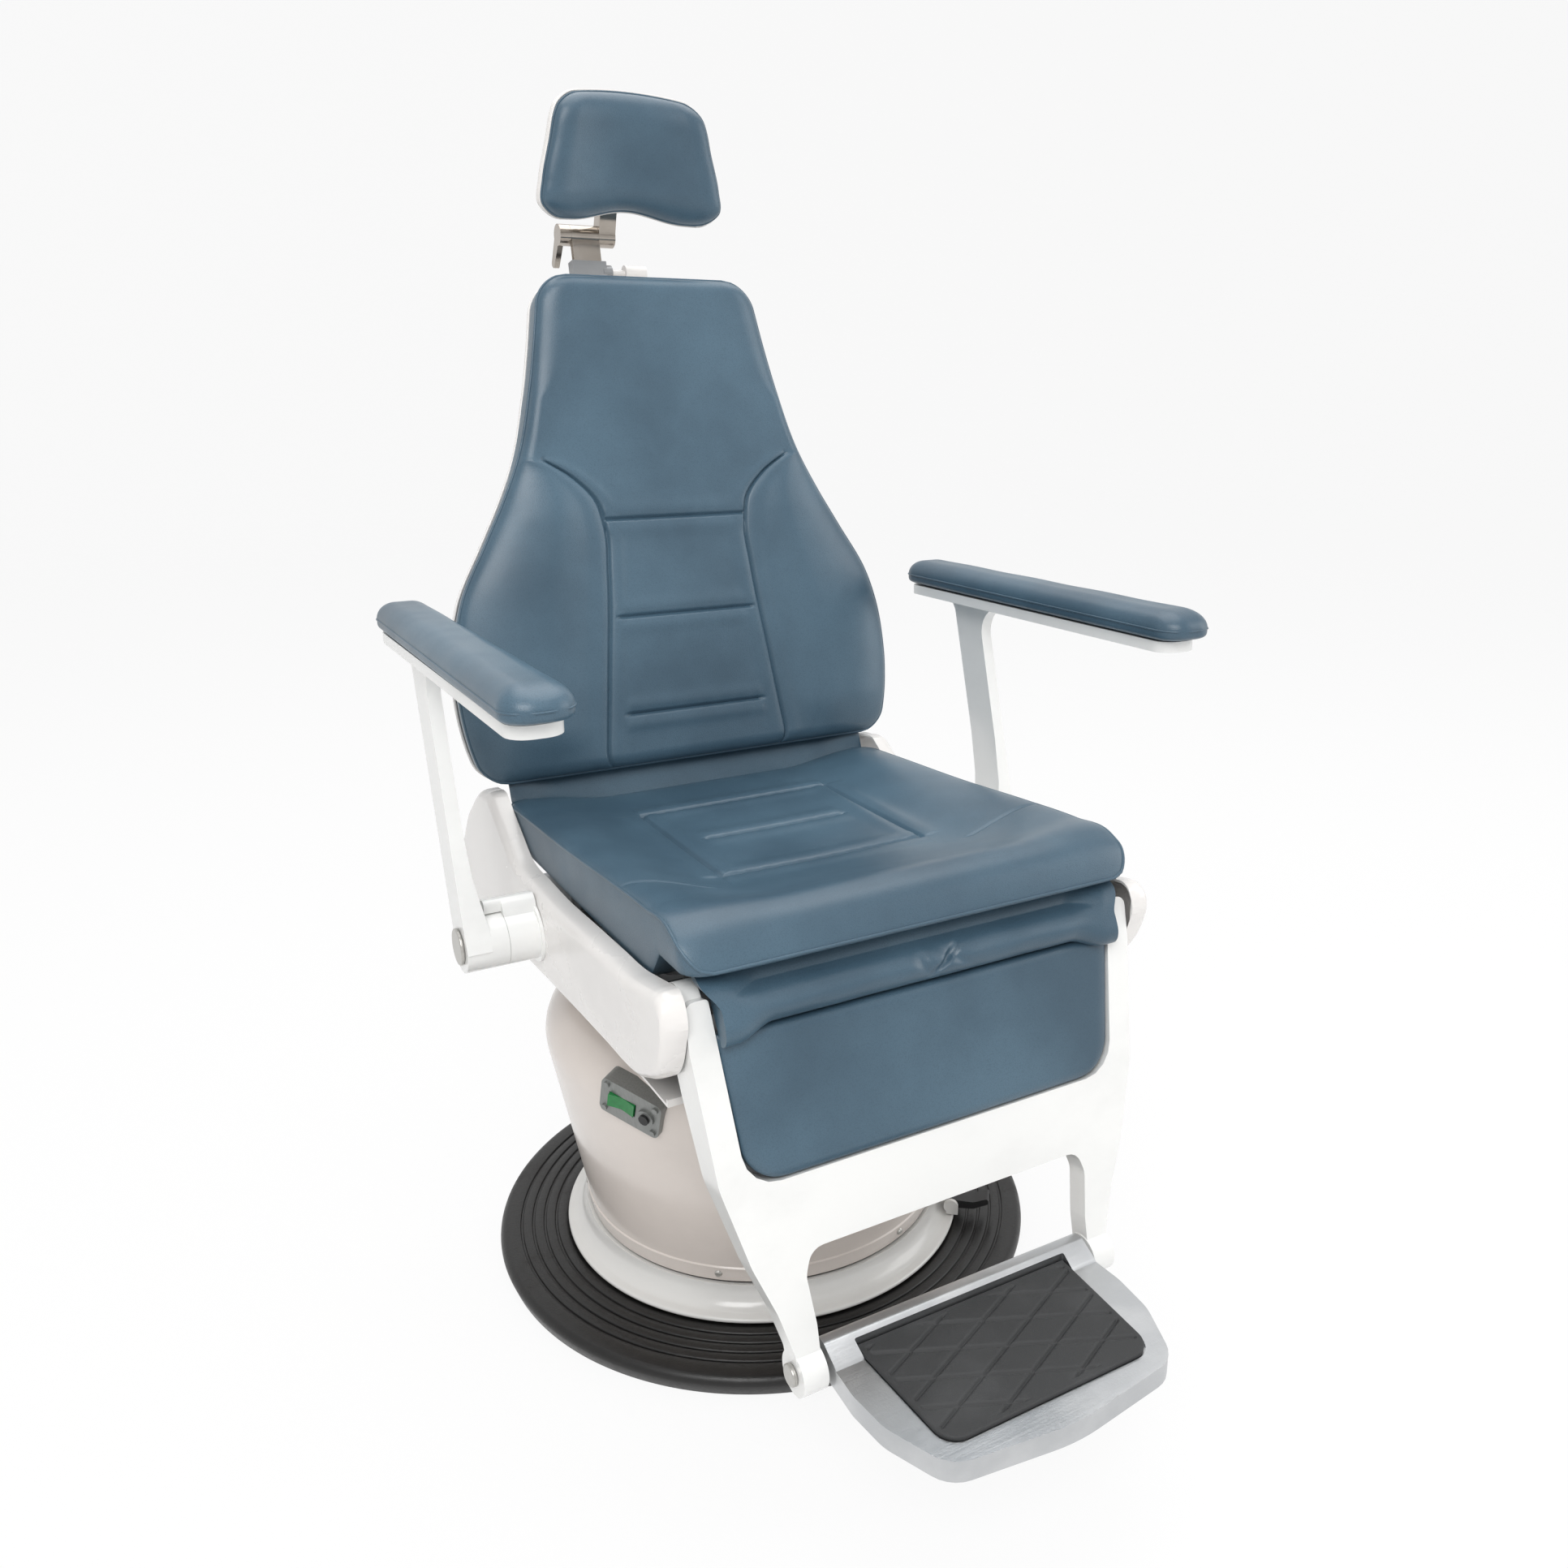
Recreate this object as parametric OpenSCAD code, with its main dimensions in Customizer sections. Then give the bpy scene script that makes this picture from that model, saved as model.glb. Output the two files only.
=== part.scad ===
// Patient examination chair for an ear, nose and throat practice.
// Millimetres, +Z up, the sitter faces -Y, the sitter's right hand is at -X.
// The origin is the centre of the round foot, on the floor.

/* [Foot] */
// Outer radius of the rubber ring on the floor
ring_r = 330; // [310:5:350]
// Height of the rubber ring
ring_h = 25; // [20:1:30]
// Radius of the painted flange that laps the rubber ring
flange_r = 247; // [240:1:256]
// Radius of the foot where the column cover stands on it
collar_r = 222; // [220:1:228]
// Height of the collar above the floor
collar_z = 57; // [52:1:57]
// Thickness of the iron bottom plate
sole_t = 12; // [8:1:15]

/* [Swivel and lift] */
// Outer radius of the swivel bearing
bearing_r = 96; // [88:1:104]
// Thickness of the turntable plate
turntable_t = 8; // [6:1:12]
// Outer radius of the fixed lift guide tube
guide_r = 72; // [70:1:78]
// Wall of the lift guide tubes
guide_wall = 8; // [6:1:10]
// Length of the fixed guide tube above the turntable
guide_h = 275; // [240:5:280]
// Outer radius of the hydraulic cylinder
cylinder_r = 38; // [30:1:44]
// Radius of the piston rod
piston_r = 22; // [16:1:26]
// Radius of the white sleeve that rises with the seat
sleeve_r = 158; // [150:1:160]

/* [Column cover] */
// Radius of the cover at its foot
cover_foot_r = 218; // [217:0.5:220]
// Radius of the cover at its shoulder
cover_top_r = 258; // [246:1:262]
// Height of the top of the cover
cover_top_z = 334; // [320:1:345]
// Radius of the rounded shoulder
shoulder_r = 46; // [30:1:50]
// Wall of the painted cover
cover_wall = 4; // [3:0.5:4]

/* [Seat] */
// Height of the seat hinges, front and rear
hinge_z = 500; // [495:1:510]
// Distance of the leg rest hinge in front of the column axis
knee_y = 330; // [325:1:335]
// Distance of the recline hinge behind the column axis
hip_y = 215; // [210:1:220]
// Radius of the levers that the synchronising bar joins
lever_r = 60; // [56:1:62]
// Half width of the seat cushion
seat_hw = 249; // [238:1:250]
// Front of the seat cushion, ahead of the column axis
seat_front = 368; // [360:1:372]
// Rear of the seat cushion, behind the column axis
seat_rear = 160; // [140:1:165]
// Height of the seat cushion's side seam
seat_edge_z = 552; // [546:1:556]
// Height of the underside of the seat cushion
seat_low_z = 506; // [504:1:508]
// How far the side bolsters rise above the middle of the seat
seat_dish = 24; // [10:1:30]

/* [Side covers] */
// Thickness of a side cover across the chair
side_t = 24.5; // [20:0.5:25]
// Wall of the moulded covers
mould_wall = 3; // [2:0.5:4]

/* [Back] */
// Lean of the back from upright, in degrees
back_lean = 10.8; // [9:0.2:12]
// Front of the back's lower end, behind the column axis
back_y = 145; // [143:1:150]
// Height of the back's lower end
back_z = 575; // [574:1:580]
// Length of the back along its lean
back_h = 582; // [560:1:600]
// Half width of the back at its widest
back_hw = 287; // [270:1:287]
// Thickness of the back cushion
back_pad_t = 52; // [46:1:54]
// Depth of the shell behind the cushion
shell_depth = 24; // [18:1:24]
// Depth of the raised spine on the shell
spine_depth = 74; // [70:1:80]

/* [Headrest] */
// Width of the chrome mast
mast_w = 36; // [30:1:38]
// Thickness of the chrome mast
mast_t = 8; // [6:0.5:10]
// Half width of the head cushion
head_hw = 111; // [100:1:120]
// Height of the head cushion
head_h = 138; // [125:1:145]
// Thickness of the head cushion
head_t = 44; // [36:1:50]

/* [Armrests] */
// Height of the arm pad's underside
arm_z = 765; // [750:1:780]
// Length of the arm pad
arm_len = 518; // [480:1:540]
// Half width of the arm pad
arm_hw = 32; // [28:1:34]
// Thickness of the arm pad
arm_t = 32; // [26:1:36]
// Radius of the arm's pivot hub
hub_r = 29; // [26:1:31]

/* [Leg rest] */
// Lean of the leg rest from upright, in degrees
leg_lean = 12.8; // [12:0.2:14]
// Depth of the cast leg frame
frame_t = 24; // [20:1:26]
// Half width of the leg frame at its feet
foot_hw = 184; // [182:0.5:186]
// Half width of the gap between the feet
gap_hw = 158; // [156:0.5:160]

/* [Footplate] */
// Half width of the footplate at its widest
plate_hw = 156; // [150:1:156]
// Reach of the footplate ahead of its hinge
plate_reach = 183; // [170:1:190]
// Height of the footplate's rim
rim_h = 22; // [18:1:26]
// Thickness of the rubber mat
mat_t = 6; // [4:0.5:8]

/* [Hidden] */

// Clearances and overruns shared by the fits below
run_gap = 0.05;
seat_gap = 0.3;
side_gap = 1;
eps = 1;

// Places across the chair that follow the seat's width
cover_gap = 1.5;
hub_out = 36;
post_out = 55;
arm_out = 70;
rail_in = 73;
side_x = seat_hw + cover_gap + side_t;
hub_x = side_x + hub_out;
post_x = side_x + post_out;
arm_x = side_x + arm_out;
rail_x = seat_hw - rail_in;
knee_hw = seat_hw;

// Colours
white_paint = "#f2f2f0";
vinyl_blue = "#58717f";
black_rubber = "#1d1b1a";
mat_grey = "#4a4a4a";
cast_metal = "#a9abad";
chrome_metal = "#c8c4c0";
steel_metal = "#8c8f92";
black_plastic = "#161616";
zinc = "#b9b6b0";

// Foot details
ring_edge = 9;
ring_seat_gap = 0.2;
groove_pitch = 14;
groove_w = 2.4;
groove_d = 2;
groove_first_r = 262;
groove_count = 4;
lip_h = 6;
lap = 12;
foot_wall = 7;
ring_in_r = flange_r - lap;
hub_z = 30;
race_h = 13.5;
race_w = 24;
race_groove = 3;
race_gap = 0.4;
table_z = hub_z + 2 * race_h + race_gap;
table_top = table_z + turntable_t;
table_r = cover_foot_r - cover_wall - seat_gap;

// Lift details
flange_t = 8;
guide_in_r = guide_r - guide_wall;
tube_flange_r = guide_r + 4;
inner_r = guide_in_r - run_gap;
inner_low = table_top + 10;
deck_z = 388;
deck_t = 8;
rail_z = deck_z + deck_t;
cylinder_top = 300;
gland_h = 16;
gland_wall = 6;
sleeve_wall = 3;
sleeve_low = 92;
sleeve_flange = 12;
pump_x = 112;
pump_r = 34;
pump_h = 150;
tank_r = 30;
tank_h = 110;
foot_pad_h = 12;

// Column cover details
cover_low = collar_z + 2;
throat_r = sleeve_r + 5;
throat_lip = 8;
skirt_h = 18;
skirt_step = 1.5;
screw_r = 4.5;
screw_h = 2.5;
screw_z = cover_low + 10;
screw_angle_share = [20, 100, 160, 230, 290, 340];

// Switch plate, rocker and button on the cover
plate_angle = -148;
switch_turn = -16;
switch_z = 290;
switch_w = 76;
switch_h = 48;
switch_t = 2.5;
switch_box_d = 26;
switch_wall = 2;
switch_skirt = 20;
rocker_w = 34;
rocker_h = 17;
rocker_d = 9;
rocker_r = 3;
rocker_x = -10;
button_x = 21;
button_r = 6;
button_len = 9;
button_ring_r = 10;
button_ring_h = 3;
cover_lean = atan2(cover_top_r - cover_foot_r, cover_top_z - shoulder_r - cover_low);
switch_r = cover_foot_r + (cover_top_r - cover_foot_r) * (switch_z - cover_low)
    / (cover_top_z - shoulder_r - cover_low) + 4;

// Mains inlet low on the rear of the cover
inlet_z = 100;
inlet_w = 50;
inlet_h = 32;
inlet_d = 26;
inlet_hole_w = 26;
inlet_hole_h = 18;
inlet_hole_d = 16;
inlet_r = cover_foot_r + (cover_top_r - cover_foot_r) * (inlet_z - cover_low)
    / (cover_top_z - shoulder_r - cover_low);
pin_w = 2;
pin_h = 6;
pin_len = 10;
pin_pitch = 7;

// Swivel lock pedal at the front left of the foot
pedal_angle = -40;
pedal_hinge_r = 243;
pedal_hinge_z = 43;
pedal_w = 22;
pedal_len = 46;
pedal_t = 9;
pedal_pin_r = 4;
pedal_ear_t = 5;
pedal_ear_r = 9;

// Seat frame details
rail = 28;
rail_front = 312;
rail_back = 232;
rail_top = rail_z + rail;
cheek_t = 8;
ear_r = 20;
pin_r = 8;
stub_r = 6;
link_t = 8;
back_ear_t = 10;
plate_gap = 3;
back_ear_x = rail_x - back_ear_t - plate_gap;
link_x = back_ear_x - link_t - plate_gap;
tube_r = 14;
leg_ear_t = 21;
leg_ear_x = knee_hw - leg_ear_t;
arm_plate_hw = 30;
lever_back = lever_r * sin(38.5);
lever_down = lever_r * cos(38.5);
post_r = 11;
pan_t = 7;
pan_z = seat_low_z - pan_t - seat_gap;
pan_post_share = [-0.74, 0.42];
cross_y_share = [-0.86, -0.36, 0.4];
cross_h = 20;

// Recline drive details
drive_z = 446;
drive_rod_r = 9;
drive_tube_r = 17;
drive_tube_front = 225;
drive_tube_back = 122;
gear_w = 62;
gear_h = 58;
gear_l = 66;
motor_r = 24;
motor_l = 92;
drive_wall = 5;
rod_tail = 20;
cross_bar_r = 8;
cross_bar_y = -20;
yoke_l = 44;
yoke_w = 26;
yoke_h = 48;
slot_l = 22.5;
slot_h = 33;
link_h = 20;
link_eye_r = 14;
open_gap = 0.5;

// Leg rest placement: the front plane passes through this point
leg_y = -398;
leg_z = 333;
leg_s = sin(leg_lean);
leg_c = cos(leg_lean);
fold_y = -428;
fold_z = 151;
fold_s = (fold_y - leg_y) * leg_s + (fold_z - leg_z) * leg_c;
foot_r = 22;
fold_pin_r = 6;
bar_low_s = -68;
bar_high_s = 4;
leg_top_s = 184;
flank_d = 44;
flank_t = 16;
pad_hw_top = knee_hw - 25;
pad_hw_low = knee_hw - 41;
pad_top_s = 149;
pad_corner = 36;
leg_pad_t = 26;
leg_pan_t = 4;
leg_pad_gap = 1.5;

// Footplate details
rim_w = 14;
web_t = 8;
rib_d = 34;
rib_h = 36;
rib_hw = gap_hw - side_gap - plate_gap;
plate_low = fold_z - rim_h / 2 - 1;
shoulder_y = fold_y - foot_r - side_gap;
mat_hw_back = 124;
mat_hw_front = 116;
mat_back_y = fold_y - 10;
mat_front_y = fold_y - 152;
mat_corner = 22;
bolt_head_r = 11;
bolt_head_h = 5;

// Armrest details
arm_y = -15;
arm_hub_z = 457;
post_t = 26;
post_w = 44;
post_top_y = 56;
tray_t = 12;
tray_hw = 25;
tray_inset = 16;
arm_back_y = 184;
arm_fillet = 22;
boss_low_x = side_x;
boss_flange_r = 33;
boss_flange_t = 3;
lug_r = 17;
lug_reach = 36;
arm_pin_r = 12;
cap_r = 20;
cap_h = 4;

bar = 14;
upright_x = 90;

// Headrest: places along the back's own lean and the offsets of its joints
mast_x = -30;
mast_d = 131;
mast_over = 82;
mast_tail = 152;
guide_tail = 167;
guide_over = 48;
guide_skin = 4;
slide_gap = 0.3;
mast_low_s = back_h - mast_tail;
mast_top_s = back_h + mast_over;
guide_low_s = back_h - guide_tail;
guide_top_s = back_h + guide_over;
knob_s = guide_top_s - 12;
knob_boss = 8;
knob_boss_r = 9;
knob_pin_r = 4;
knob_shaft = 30;
knob_len = 28;
knob_r = 10;
tilt_r = 13;
neck_w = 22;
neck_pin_r = 5;
neck_rise = 61;
neck_lead = 42;
neck_top_r = 11;
lever_hub = 14;
lever_plate = 7;
head_lead = 131;
head_rise = 74;
head_lean = 9;
head_shell_t = 4;
head_bow = 24;
head_arch = 11;
head_fall = 4;
head_corner = 20;
head_grow = 3;
head_ease = 0.4;
bracket_gap = 3;
bracket_ear = 5;
bracket_t = 4;
bracket_low = 42;
tilt_t = mast_d + mast_t;
tilt_y = back_y + tilt_t * cos(back_lean) + mast_top_s * sin(back_lean);
tilt_z = back_z - tilt_t * sin(back_lean) + mast_top_s * cos(back_lean);
head_tilt_y = tilt_y - neck_lead;
head_tilt_z = tilt_z + neck_rise;
head_y = tilt_y - head_lead;
head_z = tilt_z + head_rise;
neck_low_x = mast_x + mast_w / 2 + seat_gap;
neck_x = neck_low_x + neck_w / 2;

// Direction from b towards a
function unit(v) = v / norm(v);

// A list back to front
function reversed(a) = [for (i = [len(a) - 1:-1:0]) a[i]];

// Points of the arc that rounds the corner b between a and c
function corner(a, b, c, r, n) = r <= 0 ? [b] :
    let (u = unit(a - b), w = unit(c - b), half = acos(u * w) / 2,
         d = min(r / tan(half), norm(a - b) * 0.49, norm(c - b) * 0.49),
         rr = d * tan(half), m = b + unit(u + w) * rr / sin(half),
         p = b + u * d - m, q = b + w * d - m,
         a0 = atan2(p[1], p[0]), turn = (atan2(q[1], q[0]) - a0 + 540) % 360 - 180)
    [for (i = [0:n]) m + rr * [cos(a0 + turn * i / n), sin(a0 + turn * i / n)]];

// An outline with a radius at each corner
function rounded(pts, rs, n = 5) = let (k = len(pts))
    [for (i = [0:k - 1]) each corner(pts[(i + k - 1) % k], pts[i], pts[(i + 1) % k], rs[i], n)];

// A pad closed round its edge: two height maps over one grid share the rim.
// place(u, v, side) gives a point for u in -1..1, v in 0..1 and side 1 or -1.
module pad(us, vs, place) {
    nu = len(us) - 1;
    nv = len(vs) - 1;
    top = [for (v = vs, u = us) place(u, v, 1)];
    low = [for (i = [1:nv - 1], j = [1:nu - 1]) place(us[j], vs[i], -1)];
    base = len(top);
    function low_id(i, j) = i == 0 || j == 0 || i == nv || j == nu ? i * (nu + 1) + j
        : base + (i - 1) * (nu - 1) + j - 1;
    // Each cell's diagonal points from the pad's corners to its middle
    function cell(a, b, c, d, i, j) = (i < nv / 2) == (j < nu / 2) ? [[a, c, d], [a, d, b]]
        : [[a, c, b], [b, c, d]];
    polyhedron(points = concat(top, low), faces = concat(
        [for (i = [0:nv - 1], j = [0:nu - 1]) let (a = i * (nu + 1) + j, c = a + nu + 1)
            each cell(a, a + 1, c, c + 1, i, j)],
        [for (i = [0:nv - 1], j = [0:nu - 1])
            each [for (f = cell(low_id(i, j), low_id(i, j + 1), low_id(i + 1, j),
                low_id(i + 1, j + 1), i, j)) [f[2], f[1], f[0]]]]));
}

// Columns and rows of a plain pad, closer together towards its rim
function even_us(n) = [for (j = [0:n]) sin(90 * (2 * j / n - 1))];
function even_vs(n) = [for (i = [0:n]) (1 - cos(180 * i / n)) / 2];

// A list of shares with its mirror image in front
function mirrored(a) = concat([for (i = [len(a) - 1:-1:1]) -a[i]], a);

// Distance from the middle for a column share: the seam is at 0.5 and the rim at 1
function seam_col(u, seam, hw) = sign(u) * (abs(u) <= 0.5 ? 2 * abs(u) * seam
    : seam + (hw - seam) * (2 * abs(u) - 1));

// 0 below 0, 1 above 1 and a smooth step between
function smooth(a) = let (b = max(0, min(1, a))) b * b * (3 - 2 * b);

// 0 at the rim of a pad and 1 inside it, rising in a round over the share of the half width
function rim_rise(u, v, share_u, share_v) = let (
    a = min(1, (1 - abs(u)) / share_u), b = min(1, (1 - abs(2 * v - 1)) / share_v))
    sqrt(1 - (1 - a) * (1 - a)) * sqrt(1 - (1 - b) * (1 - b));

// Half width near an end that is rounded in plan: full away from it, less r at it
function end_cut(d, r) = d >= r ? 0 : r - sqrt(r * r - (r - d) * (r - d));

// A smooth bump of height 1 and half width w round zero
function bump(x, w) = abs(x) >= w ? 0 : (1 + cos(180 * x / w)) / 2;

// Box between two corners
module box(low, high) translate(low) cube(high - low);

// Rod along X, Y or Z from one point over a length
module rod_x(p, len, r) translate(p) rotate([0, 90, 0]) cylinder(h = len, r = r, $fn = 48);
module rod_y(p, len, r) translate(p) rotate([-90, 0, 0]) cylinder(h = len, r = r, $fn = 48);
module rod_z(p, len, r) translate(p) cylinder(h = len, r = r, $fn = 48);

// Plate of thickness t, from x outwards, with its outline in Y and Z
module side_plate(x, t, pts) translate([x, 0, 0]) rotate([90, 0, 90]) linear_extrude(t) polygon(pts);

// A piece and its mirror image on the other side of the chair
module pair() {
    children();
    mirror([1, 0, 0]) children();
}

// Turns a piece round the column axis
module at_angle(a) rotate([0, 0, a]) children();

// The back's own frame: Y runs into the back, Z along it
module in_back() translate([0, back_y, back_z]) rotate([-back_lean, 0, 0]) children();

// The leg rest's own frame: Y runs into it, Z along it
module in_leg() translate([0, leg_y, leg_z]) rotate([-leg_lean, 0, 0]) children();

module base_rubber_ring() color(black_rubber) difference() {
    rotate_extrude($fn = 180) polygon(concat(
        [[ring_in_r + ring_seat_gap, 0], [ring_r - ring_edge / 2, 0]],
        [for (i = [0:5]) [ring_r - ring_edge + ring_edge * cos(18 * i),
            ring_h - ring_edge + ring_edge * sin(18 * i)]],
        [[ring_in_r + ring_seat_gap, ring_h]]));
    for (i = [0:groove_count - 1])
        rotate_extrude($fn = 180) translate([groove_first_r + i * groove_pitch, ring_h - groove_d])
            square([groove_w, groove_d + eps]);
}

module base_casting() color(white_paint) rotate_extrude($fn = 180) polygon(concat(
    [[0, 0], [ring_in_r, 0], [ring_in_r, ring_h], [flange_r, ring_h],
     [flange_r, ring_h + lip_h / 2], [flange_r - lip_h / 2, ring_h + lip_h]],
    [for (i = [1:6]) let (r = flange_r - lip_h - collar_r, h = collar_z - ring_h - lip_h)
        [collar_r + r * (1 - sin(15 * i)), collar_z - h * (cos(15 * i))]],
    [[collar_r - foot_wall, collar_z], [collar_r - foot_wall, sole_t], [bearing_r + eps, sole_t],
     [bearing_r + eps, hub_z], [0, hub_z]]));

// Ring of the swivel bearing with its ball groove on the side that faces up or down
module race(z, groove_z) rotate_extrude($fn = 120) difference() {
    translate([bearing_r - race_w, z]) square([race_w, race_h]);
    translate([bearing_r - race_w / 2, groove_z]) circle(r = race_groove, $fn = 24);
}

module lower_bearing_race() color(steel_metal) race(hub_z, hub_z + race_h);

module upper_bearing_race() color(steel_metal)
    race(hub_z + race_h + race_gap, hub_z + race_h + race_gap);

// Ears on the flange with a cross pin for the brake pedal
module pedal_bracket() color(white_paint) at_angle(pedal_angle) {
    y0 = pedal_w / 2 + seat_gap;
    low = ring_h + lip_h + 4 * seat_gap;
    rear = -pedal_ear_r * 2 / 3;
    for (y = [-y0 - pedal_ear_t, y0]) translate([pedal_hinge_r, y, 0]) {
        rod_y([0, 0, pedal_hinge_z], pedal_ear_t, pedal_ear_r);
        box([rear, 0, low], [pedal_ear_r, pedal_ear_t, pedal_hinge_z]);
    }
    rod_y([pedal_hinge_r, -y0 - pedal_ear_t / 2, pedal_hinge_z], 2 * y0 + pedal_ear_t, pedal_pin_r);
    box([pedal_hinge_r + rear, -y0 - pedal_ear_t / 2, low],
        [pedal_hinge_r + pedal_ear_r - pedal_ear_t / 2, y0 + pedal_ear_t / 2, low + pedal_ear_t / 2]);
}

module swivel_lock_pedal() color(black_plastic) at_angle(pedal_angle) difference() {
    union() {
        rod_y([pedal_hinge_r, -pedal_w / 2, pedal_hinge_z], pedal_w, pedal_pin_r * 2);
        translate([pedal_hinge_r, pedal_w / 2, pedal_hinge_z]) rotate([90, 0, 0])
            linear_extrude(pedal_w) polygon(rounded([[0, -pedal_t / 2], [pedal_len * 0.6, -pedal_t / 3],
                [pedal_len, pedal_t * 0.6], [pedal_len, pedal_t * 1.5], [pedal_len * 0.6, pedal_t * 0.7],
                [0, pedal_t * 0.8]], [0, pedal_t, pedal_t / 3, pedal_t / 3, pedal_t, 0], 3));
    }
    rod_y([pedal_hinge_r, -pedal_w, pedal_hinge_z], 2 * pedal_w, pedal_pin_r + run_gap);
}

module turntable_plate() color(steel_metal) rotate_extrude($fn = 180)
    translate([0, table_z]) square([table_r, turntable_t]);

module lift_guide_tube() color(steel_metal) rotate_extrude($fn = 120) polygon([
    [guide_in_r, table_top], [tube_flange_r, table_top], [tube_flange_r, table_top + flange_t],
    [guide_r, table_top + flange_t], [guide_r, table_top + guide_h],
    [guide_in_r, table_top + guide_h]]);

module hydraulic_cylinder() color(steel_metal) rotate_extrude($fn = 96) polygon([
    [0, table_top], [cylinder_r, table_top], [cylinder_r, cylinder_top - gland_h],
    [cylinder_r + gland_wall / 2, cylinder_top - gland_h], [cylinder_r + gland_wall / 2, cylinder_top],
    [piston_r + run_gap, cylinder_top], [piston_r + run_gap, table_top + flange_t],
    [0, table_top + flange_t]]);

module piston_rod() color(chrome_metal)
    rod_z([0, 0, table_top + flange_t + seat_gap], deck_z - table_top - flange_t - seat_gap, piston_r);

// Motor with its oil tank, on feet on the turntable
module pump_unit() color(black_plastic) {
    box([pump_x - pump_r, -pump_r, table_top], [pump_x + pump_r, pump_r, table_top + foot_pad_h]);
    rod_z([pump_x, 0, table_top + foot_pad_h], pump_h, pump_r);
    translate([-pump_x, 0, table_top]) cylinder(h = tank_h, r = tank_r, $fn = 48);
}

// Outer line of the column cover from its foot to the throat, moved in by d
function cover_line(d) = concat(
    [[cover_foot_r - d, cover_low], [cover_foot_r + skirt_h * tan(cover_lean) - d, cover_low + skirt_h],
     [cover_foot_r + skirt_h * tan(cover_lean) - skirt_step - d, cover_low + skirt_h + skirt_step]],
    [for (i = [0:8]) let (a = 11.25 * i - cover_lean * (1 - i / 8))
        [cover_top_r - shoulder_r + (shoulder_r - d) * cos(a),
         cover_top_z - shoulder_r + (shoulder_r - d) * sin(a)]]);

// Everything inside the cover's outer face, moved in by d
module cover_body(d) rotate_extrude($fn = 180) polygon(concat(cover_line(d),
    [[0, cover_top_z - d], [0, cover_low]]));

module column_cover() color(white_paint) difference() {
    rotate_extrude($fn = 180) polygon(concat(cover_line(0),
        [[throat_r, cover_top_z], [throat_r, cover_top_z - throat_lip],
         [throat_r + cover_wall, cover_top_z - throat_lip],
         [throat_r + cover_wall, cover_top_z - cover_wall]],
        reversed(cover_line(cover_wall))));
    in_switch() box([-switch_w / 2 + switch_wall * 3, -switch_h / 2 + switch_wall * 3, -switch_box_d],
        [switch_w / 2 - switch_wall * 3, switch_h / 2 - switch_wall * 3, switch_box_d]);
}

// Pan-head screws through the skirt of the cover
module cover_screws() color(zinc) for (a = screw_angle_share)
    at_angle(a) translate([cover_foot_r + (screw_z - cover_low) * tan(cover_lean) + run_gap, 0, screw_z])
        rotate([0, 90 + cover_lean, 0]) cylinder(h = screw_h, r1 = screw_r, r2 = screw_r * 0.7, $fn = 24);

// The switch plate's own frame on the leaning wall: Z points out of the cover
module in_switch() at_angle(plate_angle) translate([switch_r, 0, switch_z])
    rotate([0, 90 + cover_lean, 0]) rotate([0, 0, 90 + switch_turn]) children();

module switch_plate() color(steel_metal) difference() {
    union() {
        difference() {
            in_switch() translate([0, 0, -switch_skirt]) linear_extrude(switch_skirt + switch_t)
                polygon(rounded([[-switch_w / 2, -switch_h / 2], [switch_w / 2, -switch_h / 2],
                    [switch_w / 2, switch_h / 2], [-switch_w / 2, switch_h / 2]],
                    [switch_t * 3, switch_t * 3, switch_t * 3, switch_t * 3], 4));
            cover_body(-seat_gap);
        }
        in_switch() {
            box([-switch_w / 2 + switch_wall * 4, -switch_h / 2 + switch_wall * 4, -switch_box_d],
                [switch_w / 2 - switch_wall * 4, switch_h / 2 - switch_wall * 4, switch_t]);
            rod_z([button_x, 0, 0], switch_t + button_ring_h, button_ring_r);
            for (x = [-1, 1], y = [-1, 1]) rod_z([x * (switch_w / 2 - switch_wall * 3.5),
                y * (switch_h / 2 - switch_wall * 3.5), 0], switch_t + screw_h, screw_r * 0.8);
        }
    }
    in_switch() {
        box([-switch_w / 2 + switch_wall * 5, -switch_h / 2 + switch_wall * 5,
            -switch_box_d + switch_wall], [switch_w / 2 - switch_wall * 5, switch_h / 2 - switch_wall * 5,
            -switch_wall]);
        box([rocker_x - rocker_w / 2 - seat_gap, -rocker_h / 2 - seat_gap, -switch_wall * 2],
            [rocker_x + rocker_w / 2 + seat_gap, rocker_h / 2 + seat_gap, switch_t + eps]);
        rod_z([button_x, 0, -switch_wall * 2], switch_t + button_ring_h + switch_wall * 3,
            button_r + run_gap);
    }
}

// Rocker that tips about its middle, with its pivot spindle
module power_rocker() color("seagreen") in_switch() {
    translate([rocker_x, rocker_h / 2, 0]) rotate([90, 0, 0]) linear_extrude(rocker_h)
        polygon([[-rocker_w / 2 + eps, switch_t * 0.6], [-rocker_r, -rocker_r], [rocker_r, -rocker_r],
            [rocker_w / 2 - eps, switch_t * 0.6], [rocker_w / 2 - eps, switch_t + rocker_d / 4],
            [0, switch_t], [-rocker_w / 2 + eps, switch_t + rocker_d / 2]]);
    rod_y([rocker_x, -rocker_h / 2, -rocker_r], rocker_h, rocker_r);
}

module breaker_button() color(black_plastic) in_switch()
    rod_z([button_x, 0, -switch_wall], switch_wall + switch_t + button_ring_h + button_len / 3, button_r);

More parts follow.
